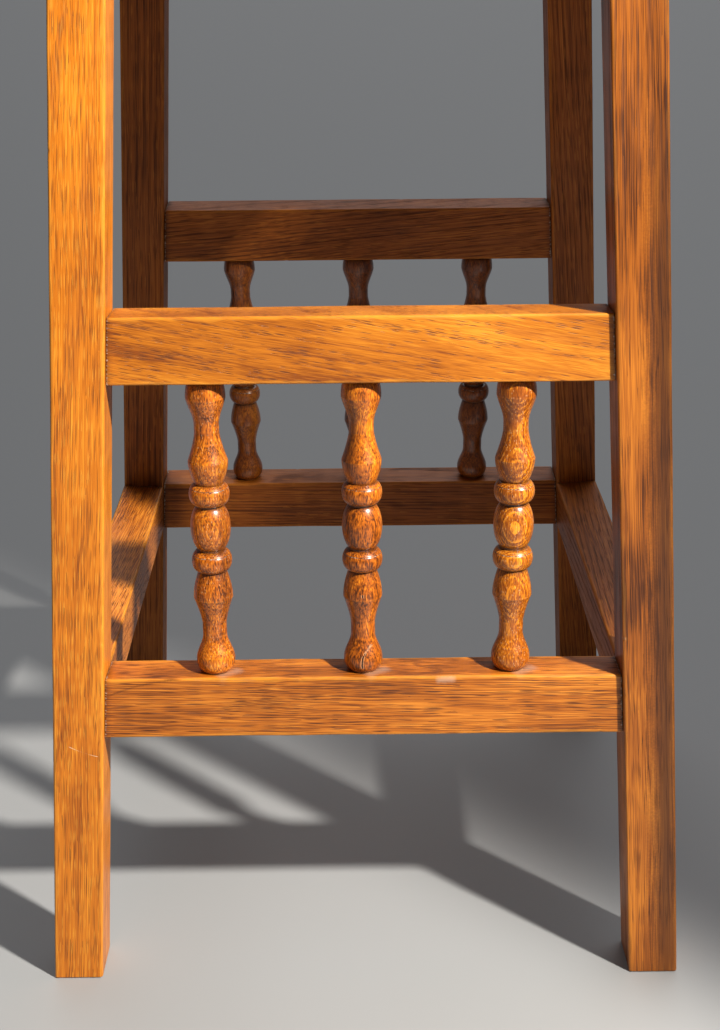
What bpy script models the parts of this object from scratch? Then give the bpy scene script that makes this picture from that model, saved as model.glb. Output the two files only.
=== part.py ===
"""Oak plant stand: four splayed legs, a spindle gallery front and back, low side stretchers and a moulded top.

Metres, +Z up. The origin is on the floor in the middle of the four feet, and the front faces -Y.
Each gallery and each side has an empty that leans as its legs do, and its pieces are modelled upright under it.
"""

import math
from dataclasses import dataclass

import bmesh
import bpy
from mathutils import Matrix, Vector
from mathutils.geometry import intersect_line_plane

# Whole stand
STAND_HEIGHT = 0.700
FLOOR_SPREAD_X = 0.361
FLOOR_SPREAD_Y = 0.342
SPLAY_X = math.radians(3.7)
SPLAY_Y = math.radians(3.4)
FIT_GAP = 0.0003
MERGE_DISTANCE = 0.00001

# Legs
LEG_WIDTH = 0.030
LEG_DEPTH = 0.032
FOOT_CHAMFER = 0.0008
ARRIS_RADIUS = 0.0012
ARRIS_STEPS = 2

# Gallery rails, and the side stretchers of the same height
RAIL_HEIGHT = 0.0379
RAIL_THICKNESS = 0.028
LOWER_RAIL_BOTTOM = 0.165
RAIL_SHOULDER = 0.006
STRETCHER_TENON_THICKNESS = 0.010
STRETCHER_TENON_LENGTH = 0.014
MORTISE_WEB = 0.0015
TENON_RADIUS = 0.0015

# Turned spindles: lengths of the head, of the foot and of what they share, then diameters
SPINDLE_PITCH = 0.0875
HEAD_RISE = 0.0101
HEAD_NECK_LENGTH = 0.0050
HEAD_SHOULDER_LENGTH = 0.0134
FOOT_RISE = 0.0072
FOOT_NECK_LENGTH = 0.0074
FOOT_SHOULDER_LENGTH = 0.0165
COVE_LENGTH = 0.0158
VASE_LENGTH = 0.0163
RING_LENGTH = 0.0128
FILLET_LENGTH = 0.001
BARREL_LENGTH = 0.0258
HEAD_SEAT_DIAMETER = 0.0176
FOOT_SEAT_DIAMETER = 0.0150
BULB_DIAMETER = 0.0229
NECK_DIAMETER = 0.0143
RIDGE_DIAMETER = 0.0230
GROOVE_DIAMETER = 0.0165
RING_DIAMETER = 0.0235
FILLET_DIAMETER = 0.0156
BARREL_DIAMETER = 0.0234
BARREL_SLIMNESS = 1.5
SPINDLE_TENON_DIAMETER = 0.010
SPINDLE_TENON_LENGTH = 0.014
SPINDLE_SIDES = 14
BULB_STEPS = 3
COVE_STEPS = 5
NECK_STEPS = 1
VASE_STEPS = 5
SHOULDER_STEPS = 3
RING_STEPS = 5
BARREL_STEPS = 3
HOLE_SIDES = 12

# Aprons under the top
APRON_HEIGHT = 0.060
APRON_THICKNESS = 0.018
APRON_SETBACK = 0.004
APRON_TENON_THICKNESS = 0.008
APRON_SHOULDER = 0.010

# Top board
TOP_OVERHANG = 0.022
TOP_CORNER_RADIUS = 0.014
TOP_CORNER_STEPS = 4
TOP_LIP_HEIGHT = 0.009
TOP_OVOLO_RADIUS = 0.008
TOP_OVOLO_STEPS = 4
TOP_FILLET = 0.0015
TOP_UNDER_ROUND = 0.002
TOP_UNDER_ROUND_STEPS = 2

# Corner blocks and the screws that hold the top to them
BLOCK_HEIGHT = 0.034
BLOCK_FACE = 0.026
BLOCK_CLEARANCE = 0.002
SCREW_DIAMETER = 0.004
SCREW_HEAD_DIAMETER = 0.008
SCREW_HEAD_HEIGHT = 0.0024
SCREW_BITE = 0.011
SCREW_TIP = 0.003
SCREW_SIDES = 12

# Worked out from the sizes above
TOP_THICKNESS = TOP_LIP_HEIGHT + TOP_OVOLO_RADIUS + TOP_FILLET
TOP_UNDERSIDE = STAND_HEIGHT - TOP_THICKNESS
FRAME_TOP = TOP_UNDERSIDE - FIT_GAP
TURNED_ALIKE = COVE_LENGTH + VASE_LENGTH + RING_LENGTH + FILLET_LENGTH + BARREL_LENGTH / 2
HEAD_LENGTH = HEAD_RISE + HEAD_NECK_LENGTH + HEAD_SHOULDER_LENGTH + TURNED_ALIKE
FOOT_LENGTH = FOOT_RISE + FOOT_NECK_LENGTH + FOOT_SHOULDER_LENGTH + TURNED_ALIKE
LOWER_RAIL_MIDDLE = LOWER_RAIL_BOTTOM + RAIL_HEIGHT / 2
BARREL_MIDDLE = LOWER_RAIL_BOTTOM + RAIL_HEIGHT + FIT_GAP + FOOT_LENGTH
UPPER_RAIL_MIDDLE = BARREL_MIDDLE + HEAD_LENGTH + FIT_GAP + RAIL_HEIGHT / 2
RAIL_SETBACK_CENTRE = (LEG_DEPTH - RAIL_THICKNESS) / 2
RAIL_TENON_LENGTH = (LEG_WIDTH - STRETCHER_TENON_THICKNESS) / 2 - MORTISE_WEB
APRON_CENTRE_X = LEG_WIDTH / 2 - APRON_SETBACK - APRON_THICKNESS / 2
APRON_CENTRE_Y = LEG_DEPTH / 2 - APRON_SETBACK - APRON_THICKNESS / 2
APRON_TENON_EDGE = APRON_SETBACK + (APRON_THICKNESS + APRON_TENON_THICKNESS) / 2
FRONT_APRON_TENON_LENGTH = LEG_WIDTH - APRON_TENON_EDGE - MORTISE_WEB
SIDE_APRON_TENON_LENGTH = LEG_DEPTH - APRON_TENON_EDGE - MORTISE_WEB

QUARTER = math.pi / 2
UP = Vector((0, 0, 1))
ALONG_X = Vector((1, 0, 0))
ALONG_Y = Vector((0, 1, 0))
FRONT, REAR = -1, 1
LEFT, RIGHT = -1, 1
END_NAMES = {FRONT: "front", REAR: "rear"}
SIDE_NAMES = {LEFT: "left", RIGHT: "right"}


@dataclass(frozen=True)
class Plane:
    """A flat cut: a point on it and its unit normal."""

    point: Vector
    normal: Vector

    def moved(self, distance):
        """The parallel plane this far along the normal."""
        return Plane(self.point + self.normal * distance, self.normal)

    def placed(self, matrix):
        """The plane after this turn and shift."""
        return Plane(matrix @ self.point, matrix.to_3x3() @ self.normal)


FLOOR = Plane(Vector((0, 0, 0)), UP)
UNDER_TOP = Plane(UP * FRAME_TOP, UP)


@dataclass(frozen=True)
class Frame:
    """An empty that leans with one pair of legs, and its matrix."""

    empty: bpy.types.Object
    matrix: Matrix

    def seen(self, plane):
        """A plane of the stand, in this frame's own coordinates."""
        return plane.placed(self.matrix.inverted())


def leaning_frame(name, foot, lean, axis):
    """An empty at the foot line, leaning about a horizontal axis."""
    empty = bpy.data.objects.new(name, None)
    bpy.context.scene.collection.objects.link(empty)
    matrix = Matrix.Translation(foot) @ Matrix.Rotation(lean, 4, axis)
    empty.matrix_world = matrix
    return Frame(empty, matrix)


def leaning_x(height, outward):
    """How far from the middle a side's plane is at this height, from its distance to the legs' centre plane."""
    return FLOOR_SPREAD_X / 2 - height * math.tan(SPLAY_X) + outward / math.cos(SPLAY_X)


def leaning_y(height, outward):
    """The same for the front and the back."""
    return FLOOR_SPREAD_Y / 2 - height * math.tan(SPLAY_Y) + outward / math.cos(SPLAY_Y)


# Materials

def plain_finish(name, colour, roughness, metallic=0):
    """A plain finish: varnished wood, or bare metal."""
    material = bpy.data.materials.new(name)
    material.use_nodes = True
    shader = material.node_tree.nodes["Principled BSDF"]
    shader.inputs["Base Color"].default_value = (*colour, 1)
    shader.inputs["Roughness"].default_value = roughness
    shader.inputs["Metallic"].default_value = metallic
    return material


# Shapes

def rounded_section(width, depth, radius, steps=ARRIS_STEPS):
    """The points of a rectangle about the origin with rounded corners."""
    points = []
    for quarter, (across, along) in enumerate(((1, 1), (-1, 1), (-1, -1), (1, -1))):
        centre = Vector((across * (width / 2 - radius), along * (depth / 2 - radius)))
        for step in range(steps + 1):
            turn = (quarter + step / steps) * QUARTER
            points.append(centre + radius * Vector((math.cos(turn), math.sin(turn))))
    return points


def set_out(section, centre, across, up):
    """A flat section laid out in space about its centre."""
    return [centre + across * point.x + up * point.y for point in section]


def carried(points, run, plane):
    """Each point moved along the run until it meets the plane, as a saw cut does."""
    return [intersect_line_plane(point, point + run, plane.point, plane.normal) for point in points]


def add_object(name, mesh, frame, material):
    """An object under its frame's empty."""
    item = bpy.data.objects.new(name, mesh)
    bpy.context.scene.collection.objects.link(item)
    if frame:
        item.parent = frame.empty
    if material and not mesh.materials:
        mesh.materials.append(material)
    return item


def loft(name, loops, frame, material):
    """A closed solid through loops of equal count, capped at both ends."""
    shape = bmesh.new()
    rings = [[shape.verts.new(point) for point in loop] for loop in loops]
    shape.faces.new(rings[0])
    shape.faces.new(rings[-1])
    for lower, upper in zip(rings, rings[1:]):
        for first in range(len(lower)):
            after = (first + 1) % len(lower)
            shape.faces.new((lower[first], lower[after], upper[after], upper[first]))
    bmesh.ops.recalc_face_normals(shape, faces=shape.faces)
    mesh = bpy.data.meshes.new(name)
    shape.to_mesh(mesh)
    shape.free()
    return add_object(name, mesh, frame, material)


def profile_mesh(name, outline):
    """A half outline of (radius, height) from the top down, as the edge that a turning is spun from."""
    mesh = bpy.data.meshes.new(name)
    edges = [(first, first + 1) for first in range(len(outline) - 1)]
    mesh.from_pydata([(radius, 0, height) for radius, height in outline], edges, [])
    return mesh


def turned(name, mesh, frame, place, sides, material):
    """A piece turned on the lathe: its half outline spun about the upright axis."""
    item = add_object(name, mesh, frame, material)
    item.location = place
    spin = item.modifiers.new("turning", "SCREW")
    spin.axis = "Z"
    spin.steps = sides
    spin.render_steps = sides
    spin.use_merge_vertices = True
    spin.merge_threshold = MERGE_DISTANCE
    spin.use_smooth_shade = True
    return item


def as_cutter(item):
    """Marks a shape as a tool that only cuts."""
    item.hide_render = True
    item.display_type = "WIRE"
    return item


def cut(item, cutters):
    """Takes each cutter out of the piece."""
    for cutter in cutters:
        hole = item.modifiers.new("cut " + cutter.name, "BOOLEAN")
        hole.operation = "DIFFERENCE"
        hole.solver = "EXACT"
        hole.object = cutter


@dataclass(frozen=True)
class Tenon:
    """A stub tenon's section and length."""

    thickness: float
    height: float
    length: float

    def section(self, grown=0.0):
        """Its outline, or that of its mortise when grown by the gap."""
        return rounded_section(self.thickness + 2 * grown, self.height + 2 * grown, TENON_RADIUS + grown)


def tenoned_bar(name, frame, run, across, ends, body, centre, tenon, material):
    """A bar sawn to the faces it meets, with a tenon at each end, and the cutter for its two mortises."""
    stub = set_out(tenon.section(), centre, across, UP)
    slot = set_out(tenon.section(FIT_GAP), centre, across, UP)
    start, finish = ends
    loops = [
        carried(stub, run, start.moved(tenon.length)),
        carried(stub, run, start.moved(-FIT_GAP)),
        carried(body, run, start.moved(-FIT_GAP)),
        carried(body, run, finish.moved(-FIT_GAP)),
        carried(stub, run, finish.moved(-FIT_GAP)),
        carried(stub, run, finish.moved(tenon.length)),
    ]
    bar = loft(name, loops, frame, material)
    reach = tenon.length + FIT_GAP
    slots = [carried(slot, run, start.moved(reach)), carried(slot, run, finish.moved(reach))]
    return bar, as_cutter(loft(name + "_mortises", slots, frame, None))


def level_top(points, middle, level):
    """The upper half of an outline planed level under the top board."""
    above = [point.z > middle for point in points]
    planed = carried(points, UP, level)
    return [flat if high else point for point, flat, high in zip(points, planed, above)]


# The faces that bars are sawn to

def leg_axis(side):
    """A leg's own direction in its gallery."""
    return Vector((-side * math.sin(SPLAY_X), 0, math.cos(SPLAY_X)))


def leg_across(side):
    """The direction across a leg in its gallery."""
    return Vector((math.cos(SPLAY_X), 0, side * math.sin(SPLAY_X)))


def leg_foot(side):
    """The middle of a leg on the foot line of its gallery."""
    return ALONG_X * (side * FLOOR_SPREAD_X / 2)


def gallery_ends():
    """The inner side faces of a gallery's two legs, with normals that point into the legs."""
    planes = []
    for side in (LEFT, RIGHT):
        outward = leg_across(side) * side
        planes.append(Plane(leg_foot(side) - outward * (LEG_WIDTH / 2), outward))
    return planes


def side_ends(galleries):
    """The facing faces of the front and rear legs, in the stand's coordinates, with normals into the legs."""
    planes = []
    for end in (FRONT, REAR):
        inner_face = Plane(ALONG_Y * (-end * LEG_DEPTH / 2), ALONG_Y * end)
        planes.append(inner_face.placed(galleries[end].matrix))
    return planes


# Sub-parts

def make_leg(end, side, frame, material):
    """A square leg, sawn level at the floor and under the top, with its foot's edge eased."""
    axis, across, foot = leg_axis(side), leg_across(side), leg_foot(side)
    full = rounded_section(LEG_WIDTH, LEG_DEPTH, ARRIS_RADIUS)
    eased = rounded_section(LEG_WIDTH - 2 * FOOT_CHAMFER, LEG_DEPTH - 2 * FOOT_CHAMFER, ARRIS_RADIUS)
    sides = set_out(full, foot, across, ALONG_Y)
    floor = frame.seen(FLOOR)
    loops = [
        carried(set_out(eased, foot, across, ALONG_Y), axis, floor),
        carried(sides, axis, floor.moved(FOOT_CHAMFER)),
        carried(sides, axis, frame.seen(UNDER_TOP)),
    ]
    return loft(f"leg_{END_NAMES[end]}_{SIDE_NAMES[side]}", loops, frame, material)


def make_rail(name, middle, frame, material):
    """A gallery rail, flush with the backs of its legs."""
    centre = ALONG_Y * RAIL_SETBACK_CENTRE + UP * middle
    body = set_out(rounded_section(RAIL_THICKNESS, RAIL_HEIGHT, ARRIS_RADIUS), centre, ALONG_Y, UP)
    stub_height = RAIL_HEIGHT - 2 * RAIL_SHOULDER
    tenon = Tenon(RAIL_THICKNESS - 2 * RAIL_SHOULDER, stub_height, RAIL_TENON_LENGTH)
    return tenoned_bar(name, frame, ALONG_X, ALONG_Y, gallery_ends(), body, centre, tenon, material)


def make_stretcher(name, frame, ends, material):
    """A side stretcher as wide as the legs and level with the lower rails."""
    centre = UP * (LOWER_RAIL_MIDDLE * math.cos(SPLAY_Y) / math.cos(SPLAY_X))
    body = set_out(rounded_section(LEG_WIDTH, RAIL_HEIGHT, ARRIS_RADIUS), centre, ALONG_X, UP)
    tenon = Tenon(STRETCHER_TENON_THICKNESS, RAIL_HEIGHT - 2 * RAIL_SHOULDER, STRETCHER_TENON_LENGTH)
    return tenoned_bar(name, frame, ALONG_Y, ALONG_X, ends, body, centre, tenon, material)


def make_apron(name, frame, run, across, offset, splay, ends, length, material):
    """An apron set back from the legs' outer faces, its upper edge planed level."""
    middle = (FRAME_TOP - APRON_HEIGHT / 2) / math.cos(splay)
    centre = across * offset + UP * middle
    section = rounded_section(APRON_THICKNESS, APRON_HEIGHT, ARRIS_RADIUS)
    body = level_top(set_out(section, centre, across, UP), middle, frame.seen(UNDER_TOP))
    tenon = Tenon(APRON_TENON_THICKNESS, APRON_HEIGHT - 2 * APRON_SHOULDER, length)
    return tenoned_bar(name, frame, run, across, ends, body, centre, tenon, material)


def s_curve(share):
    """Level at both ends, for the cove above a spindle's round foot."""
    return (1 - math.cos(math.pi * share)) / 2


def hollow(share):
    """Level at the start, steepest at the finish."""
    return 1 - math.cos(QUARTER * share)


def flare(share):
    """Steep at the start and level at the finish, for the cove under a spindle's crisp head."""
    return (s_curve(share) + math.sin(QUARTER * share)) / 2


def spread(share):
    """Widens slowly at the start and more at the finish, for a vase."""
    return (share + hollow(share)) / 2


def spindle_half_outline(seat, rise, cove, neck, shoulder):
    """(radius, distance from the rail) from a head's or foot's seat to the barrel's middle.

    Seat is a diameter, rise, neck and shoulder are lengths, and cove is the curve from bulb to neck.
    """
    points = []
    station = 0.0

    def stretch(length, start, finish, shape, steps):
        """One turned stretch: shape runs from 0 at the start to 1 at the finish."""
        nonlocal station
        for step in range(1, steps + 1):
            share = step / steps
            points.append(((start + (finish - start) * shape(share)) / 2, station + length * share))
        station += length

    def swell(length, base, crown, finish, steps, slimness=1):
        """A bead or barrel: an ellipse on its base, up to an angle, and slimmer towards its ends if asked."""
        nonlocal station
        for step in range(steps + 1):
            angle = finish * step / steps
            share = (1 - math.cos(angle)) / (1 - math.cos(finish))
            height = max(0, math.sin(angle)) ** slimness
            points.append(((base + (crown - base) * height) / 2, station + length * share))
        station += length

    swell(rise, seat, BULB_DIAMETER, QUARTER, BULB_STEPS)
    stretch(COVE_LENGTH, BULB_DIAMETER, NECK_DIAMETER, cove, COVE_STEPS)
    stretch(neck, NECK_DIAMETER, NECK_DIAMETER, spread, NECK_STEPS)
    stretch(VASE_LENGTH, NECK_DIAMETER, RIDGE_DIAMETER, spread, VASE_STEPS)
    stretch(shoulder, RIDGE_DIAMETER, GROOVE_DIAMETER, hollow, SHOULDER_STEPS)
    swell(RING_LENGTH, FILLET_DIAMETER, RING_DIAMETER, math.pi, RING_STEPS)
    station += FILLET_LENGTH
    swell(BARREL_LENGTH / 2, FILLET_DIAMETER, BARREL_DIAMETER, QUARTER, BARREL_STEPS, BARREL_SLIMNESS)
    return points


def spindle_outline():
    """The whole half outline about the barrel's middle, from the top tenon down to the lower one."""
    stub = SPINDLE_TENON_DIAMETER / 2
    top, bottom = HEAD_LENGTH + SPINDLE_TENON_LENGTH, FOOT_LENGTH + SPINDLE_TENON_LENGTH
    head = spindle_half_outline(HEAD_SEAT_DIAMETER, HEAD_RISE, flare, HEAD_NECK_LENGTH, HEAD_SHOULDER_LENGTH)
    foot = spindle_half_outline(FOOT_SEAT_DIAMETER, FOOT_RISE, s_curve, FOOT_NECK_LENGTH, FOOT_SHOULDER_LENGTH)
    upper = [(0, top), (stub, top), (stub, HEAD_LENGTH)]
    upper += [(radius, HEAD_LENGTH - along) for radius, along in head]
    lower = [(0, -bottom), (stub, -bottom), (stub, -FOOT_LENGTH)]
    lower += [(radius, along - FOOT_LENGTH) for radius, along in foot]
    return upper + lower[-2::-1]


def make_spindles(end, frame, mesh, rod_mesh, material):
    """A gallery's three spindles, and the rods that bore both rails for their tenons."""
    rods = []
    for place, label in enumerate(("left", "center", "right"), start=-1):
        spot = Vector((place * SPINDLE_PITCH, RAIL_SETBACK_CENTRE, BARREL_MIDDLE))
        turned(f"{END_NAMES[end]}_spindle_{label}", mesh, frame, spot, SPINDLE_SIDES, material)
        rod = turned(f"{END_NAMES[end]}_bore_{label}", rod_mesh, frame, spot, HOLE_SIDES, None)
        rods.append(as_cutter(rod))
    return rods


def make_top(material):
    """The top board: a lip, a quarter-round moulding and a fillet, with a small round beneath."""
    width = 2 * (leaning_x(TOP_UNDERSIDE, LEG_WIDTH / 2) + TOP_OVERHANG)
    depth = 2 * (leaning_y(TOP_UNDERSIDE, LEG_DEPTH / 2) + TOP_OVERHANG)
    edge = []
    for step in range(TOP_UNDER_ROUND_STEPS + 1):
        turn = QUARTER * step / TOP_UNDER_ROUND_STEPS
        edge.append((TOP_UNDER_ROUND * (1 - math.sin(turn)), TOP_UNDER_ROUND * (1 - math.cos(turn))))
    for step in range(TOP_OVOLO_STEPS + 1):
        turn = QUARTER * step / TOP_OVOLO_STEPS
        inset = TOP_OVOLO_RADIUS * (1 - math.cos(turn))
        edge.append((inset, TOP_LIP_HEIGHT + TOP_OVOLO_RADIUS * math.sin(turn)))
    edge.append((TOP_OVOLO_RADIUS + TOP_FILLET, TOP_LIP_HEIGHT + TOP_OVOLO_RADIUS))
    edge.append((TOP_OVOLO_RADIUS + TOP_FILLET, TOP_THICKNESS))
    loops = []
    for inset, height in edge:
        corner = TOP_CORNER_RADIUS - inset
        section = rounded_section(width - 2 * inset, depth - 2 * inset, corner, TOP_CORNER_STEPS)
        loops.append(set_out(section, UP * (TOP_UNDERSIDE + height), ALONG_X, ALONG_Y))
    return loft("top_board", loops, None, material)


def block_corner(end, side, height):
    """Where the inner faces of two neighbouring aprons would meet at this height, less the gap."""
    across = leaning_x(height, APRON_CENTRE_X - APRON_THICKNESS / 2 - FIT_GAP)
    along = leaning_y(height, APRON_CENTRE_Y - APRON_THICKNESS / 2 - FIT_GAP)
    return Vector((side * across, end * along, height))


def block_near():
    """How far from the apron corner a block starts, to pass the leg's inner corner."""
    past_x = LEG_WIDTH - APRON_SETBACK - APRON_THICKNESS
    past_y = LEG_DEPTH - APRON_SETBACK - APRON_THICKNESS
    return past_x + past_y + BLOCK_CLEARANCE


def make_block(end, side, material):
    """A corner block whose two glue faces follow the lean of the aprons."""
    near = block_near()
    far = near + BLOCK_FACE
    loops = []
    for height in (FRAME_TOP - BLOCK_HEIGHT, FRAME_TOP):
        corner = block_corner(end, side, height)
        inward_x, inward_y = ALONG_X * -side, ALONG_Y * -end
        steps = (inward_x * near, inward_x * far, inward_y * far, inward_y * near)
        loops.append([corner + step for step in steps])
    return loft(f"corner_block_{END_NAMES[end]}_{SIDE_NAMES[side]}", loops, None, material)


def screw_outline(grown=0.0):
    """A countersunk wood screw, head down at height 0, or its hole when grown by the gap."""
    shank, head = SCREW_DIAMETER / 2 + grown, SCREW_HEAD_DIAMETER / 2 + grown
    tip = BLOCK_HEIGHT + FIT_GAP + SCREW_BITE
    outline = [
        (0, tip + grown),
        (shank / 2, tip + grown),
        (shank, tip - SCREW_TIP + grown),
        (shank, SCREW_HEAD_HEIGHT + grown),
        (head, 0),
    ]
    if grown:
        outline.append((head, -grown))
    return outline + [(0, -grown)]


def make_screw(end, side, mesh, hole_mesh, material):
    """The screw up through a corner block into the top, and the cutter for its hole."""
    label = f"{END_NAMES[end]}_{SIDE_NAMES[side]}"
    middle = (2 * block_near() + BLOCK_FACE) / 4
    spot = block_corner(end, side, FRAME_TOP - BLOCK_HEIGHT)
    spot += Vector((-side * middle, -end * middle, 0))
    turned(f"top_screw_{label}", mesh, None, spot, SCREW_SIDES, material)
    return as_cutter(turned(f"screw_hole_{label}", hole_mesh, None, spot, SCREW_SIDES, None))


def main():
    """Builds the stand."""
    for item in list(bpy.data.objects):
        bpy.data.objects.remove(item)
    frame_oak = plain_finish("stained oak", (0.33, 0.13, 0.030), 0.38)
    turned_oak = plain_finish("turned oak", (0.29, 0.095, 0.025), 0.28)
    top_oak = plain_finish("top oak", (0.34, 0.135, 0.032), 0.34)
    block_wood = plain_finish("plain oak", (0.42, 0.26, 0.13), 0.60)
    steel = plain_finish("screw steel", (0.55, 0.54, 0.52), 0.35, metallic=1)

    galleries = {}
    for end in (FRONT, REAR):
        foot = ALONG_Y * (end * FLOOR_SPREAD_Y / 2)
        galleries[end] = leaning_frame(f"{END_NAMES[end]}_gallery", foot, end * SPLAY_Y, "X")
    flanks = {}
    for side in (LEFT, RIGHT):
        foot = ALONG_X * (side * FLOOR_SPREAD_X / 2)
        flanks[side] = leaning_frame(f"{SIDE_NAMES[side]}_flank", foot, -side * SPLAY_X, "Y")

    spindle = profile_mesh("spindle", spindle_outline())
    bore_top = HEAD_LENGTH + SPINDLE_TENON_LENGTH + FIT_GAP
    bore_foot = -(FOOT_LENGTH + SPINDLE_TENON_LENGTH + FIT_GAP)
    bore_radius = SPINDLE_TENON_DIAMETER / 2 + FIT_GAP
    bore = [(0, bore_top), (bore_radius, bore_top), (bore_radius, bore_foot), (0, bore_foot)]
    rod = profile_mesh("spindle_bore", bore)

    gallery_mortises = {}
    for end, frame in galleries.items():
        name = END_NAMES[end]
        lower, lower_slots = make_rail(f"{name}_lower_rail", LOWER_RAIL_MIDDLE, frame, frame_oak)
        upper, upper_slots = make_rail(f"{name}_upper_rail", UPPER_RAIL_MIDDLE, frame, frame_oak)
        rods = make_spindles(end, frame, spindle, rod, turned_oak)
        cut(lower, rods)
        cut(upper, rods)
        apron_offset = end * APRON_CENTRE_Y
        apron_length = FRONT_APRON_TENON_LENGTH
        _, apron_slots = make_apron(
            f"{name}_apron", frame, ALONG_X, ALONG_Y, apron_offset, SPLAY_Y, gallery_ends(), apron_length, frame_oak
        )
        gallery_mortises[end] = [lower_slots, upper_slots, apron_slots]

    flank_mortises = {}
    for side, frame in flanks.items():
        name = SIDE_NAMES[side]
        ends = [frame.seen(plane) for plane in side_ends(galleries)]
        _, stretcher_slots = make_stretcher(f"{name}_stretcher", frame, ends, frame_oak)
        apron_offset = side * APRON_CENTRE_X
        apron_length = SIDE_APRON_TENON_LENGTH
        _, apron_slots = make_apron(
            f"{name}_apron", frame, ALONG_Y, ALONG_X, apron_offset, SPLAY_X, ends, apron_length, frame_oak
        )
        flank_mortises[side] = [stretcher_slots, apron_slots]

    top = make_top(top_oak)
    screw = profile_mesh("top_screw", screw_outline())
    screw_hole = profile_mesh("screw_hole", screw_outline(FIT_GAP))
    for end, frame in galleries.items():
        for side in flanks:
            leg = make_leg(end, side, frame, frame_oak)
            cut(leg, gallery_mortises[end] + flank_mortises[side])
            block = make_block(end, side, block_wood)
            hole = make_screw(end, side, screw, screw_hole, steel)
            cut(block, [hole])
            cut(top, [hole])


main()
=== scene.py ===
"""Dresses the oak plant stand: planed bars with worn arrises, turned spindles, a jointed top and stained oak.

Metres, +Z up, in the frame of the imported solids. Every wooden piece is modelled along its own X, which is the
way its grain runs, and is then set in its place on the stand.
"""

import logging
import math
from dataclasses import dataclass, field, replace
from enum import Enum
from typing import Callable

import bmesh
import bpy
import numpy as np
from mathutils import Euler, Matrix, Vector


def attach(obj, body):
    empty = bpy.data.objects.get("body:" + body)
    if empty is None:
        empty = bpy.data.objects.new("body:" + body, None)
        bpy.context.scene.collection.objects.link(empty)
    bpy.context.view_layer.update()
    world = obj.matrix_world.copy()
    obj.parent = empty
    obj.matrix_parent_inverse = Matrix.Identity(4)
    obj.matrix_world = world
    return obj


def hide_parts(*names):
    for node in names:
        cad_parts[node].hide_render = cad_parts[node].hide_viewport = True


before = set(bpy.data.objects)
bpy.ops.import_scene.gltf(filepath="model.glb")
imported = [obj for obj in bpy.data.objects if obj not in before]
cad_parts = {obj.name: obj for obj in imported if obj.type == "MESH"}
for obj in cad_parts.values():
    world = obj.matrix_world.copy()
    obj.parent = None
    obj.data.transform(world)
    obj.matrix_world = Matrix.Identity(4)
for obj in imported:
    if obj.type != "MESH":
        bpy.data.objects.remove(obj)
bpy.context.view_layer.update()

LOG = logging.getLogger("plant_stand")
BODY = "root"
UP = Vector((0, 0, 1))
ALONG_X = Vector((1, 0, 0))
ALONG_Y = Vector((0, 1, 0))
QUARTER = math.pi / 2
GRAIN = "grain"
FLAT_LAYOUT = "OFBake"
LAYOUT_MARGIN = 0.003
SKIN_CREASE = math.radians(38)
TOP_CREASE = math.radians(32)
FIXING_CREASE = math.radians(30)
Point = tuple[float, float, float]
Colour = tuple[float, float, float]
Ramp = Callable[[float], float]
CORNERS = ((1, 1), (-1, 1), (-1, -1), (1, -1))


class End(Enum):
    """The front or the back of the stand."""

    FRONT = -1
    REAR = 1

    @property
    def label(self) -> str:
        """The word that piece names use."""
        return self.name.lower()


class Side(Enum):
    """The left or the right of the stand, seen from the front."""

    LEFT = -1
    RIGHT = 1

    @property
    def label(self) -> str:
        """The word that piece names use."""
        return self.name.lower()


class Slot(Enum):
    """The record's material slots."""

    STAINED = "stained_oak"
    TURNED = "turned_oak"
    TOP = "top_oak"
    PLAIN = "plain_oak"
    STEEL = "screw_steel"


class Paint(Enum):
    """Values painted on a mesh's points, which its finish reads."""

    EDGE = "edge"
    BARE = "bare"
    JOINT = "joint"
    # Dirt, and painted shade, in the spindles' seats, groove and ring edges.
    HOLLOW = "hollow"
    PLANK = "plank"


@dataclass(frozen=True)
class StandSizes:
    """The stand's driving sizes, the same as its solids have."""

    height: float = 0.700
    floor_spread_x: float = 0.361
    floor_spread_y: float = 0.342
    splay_x: float = math.radians(3.7)
    splay_y: float = math.radians(3.4)
    gap: float = 0.0003
    leg_width: float = 0.030
    leg_depth: float = 0.032
    foot_ease: float = 0.0009
    rail_height: float = 0.0379
    rail_thickness: float = 0.028
    lower_rail_bottom: float = 0.165
    spindle_pitch: float = 0.0875
    spindle_head: float = 0.0873
    spindle_foot: float = 0.0899
    apron_height: float = 0.060
    apron_thickness: float = 0.018
    apron_setback: float = 0.004
    top_thickness: float = 0.0185
    top_overhang: float = 0.022
    block_height: float = 0.034
    block_face: float = 0.026
    block_clearance: float = 0.002

    @property
    def top_underside(self) -> float:
        """The height of the top board's underside."""
        return self.height - self.top_thickness

    @property
    def frame_top(self) -> float:
        """The height that legs and aprons are planed to."""
        return self.top_underside - self.gap

    @property
    def rail_back(self) -> float:
        """How far a rail's middle lies behind its legs' middle."""
        return (self.leg_depth - self.rail_thickness) / 2

    @property
    def lower_rail_middle(self) -> float:
        """The lower rail's middle, up the leaning gallery."""
        return self.lower_rail_bottom + self.rail_height / 2

    @property
    def barrel_middle(self) -> float:
        """The middle of the spindles' barrels, up the leaning gallery."""
        return self.lower_rail_bottom + self.rail_height + self.gap + self.spindle_foot

    @property
    def upper_rail_middle(self) -> float:
        """The upper rail's middle, up the leaning gallery."""
        return self.barrel_middle + self.spindle_head + self.gap + self.rail_height / 2

    def reach_x(self, height: float, outward: float) -> float:
        """How far from the middle a plane along a side lies at this height."""
        return self.floor_spread_x / 2 - height * math.tan(self.splay_x) + outward / math.cos(self.splay_x)

    def reach_y(self, height: float, outward: float) -> float:
        """How far from the middle a plane along the front or back lies at this height."""
        return self.floor_spread_y / 2 - height * math.tan(self.splay_y) + outward / math.cos(self.splay_y)


SIZES = StandSizes()


# Node work

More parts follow.
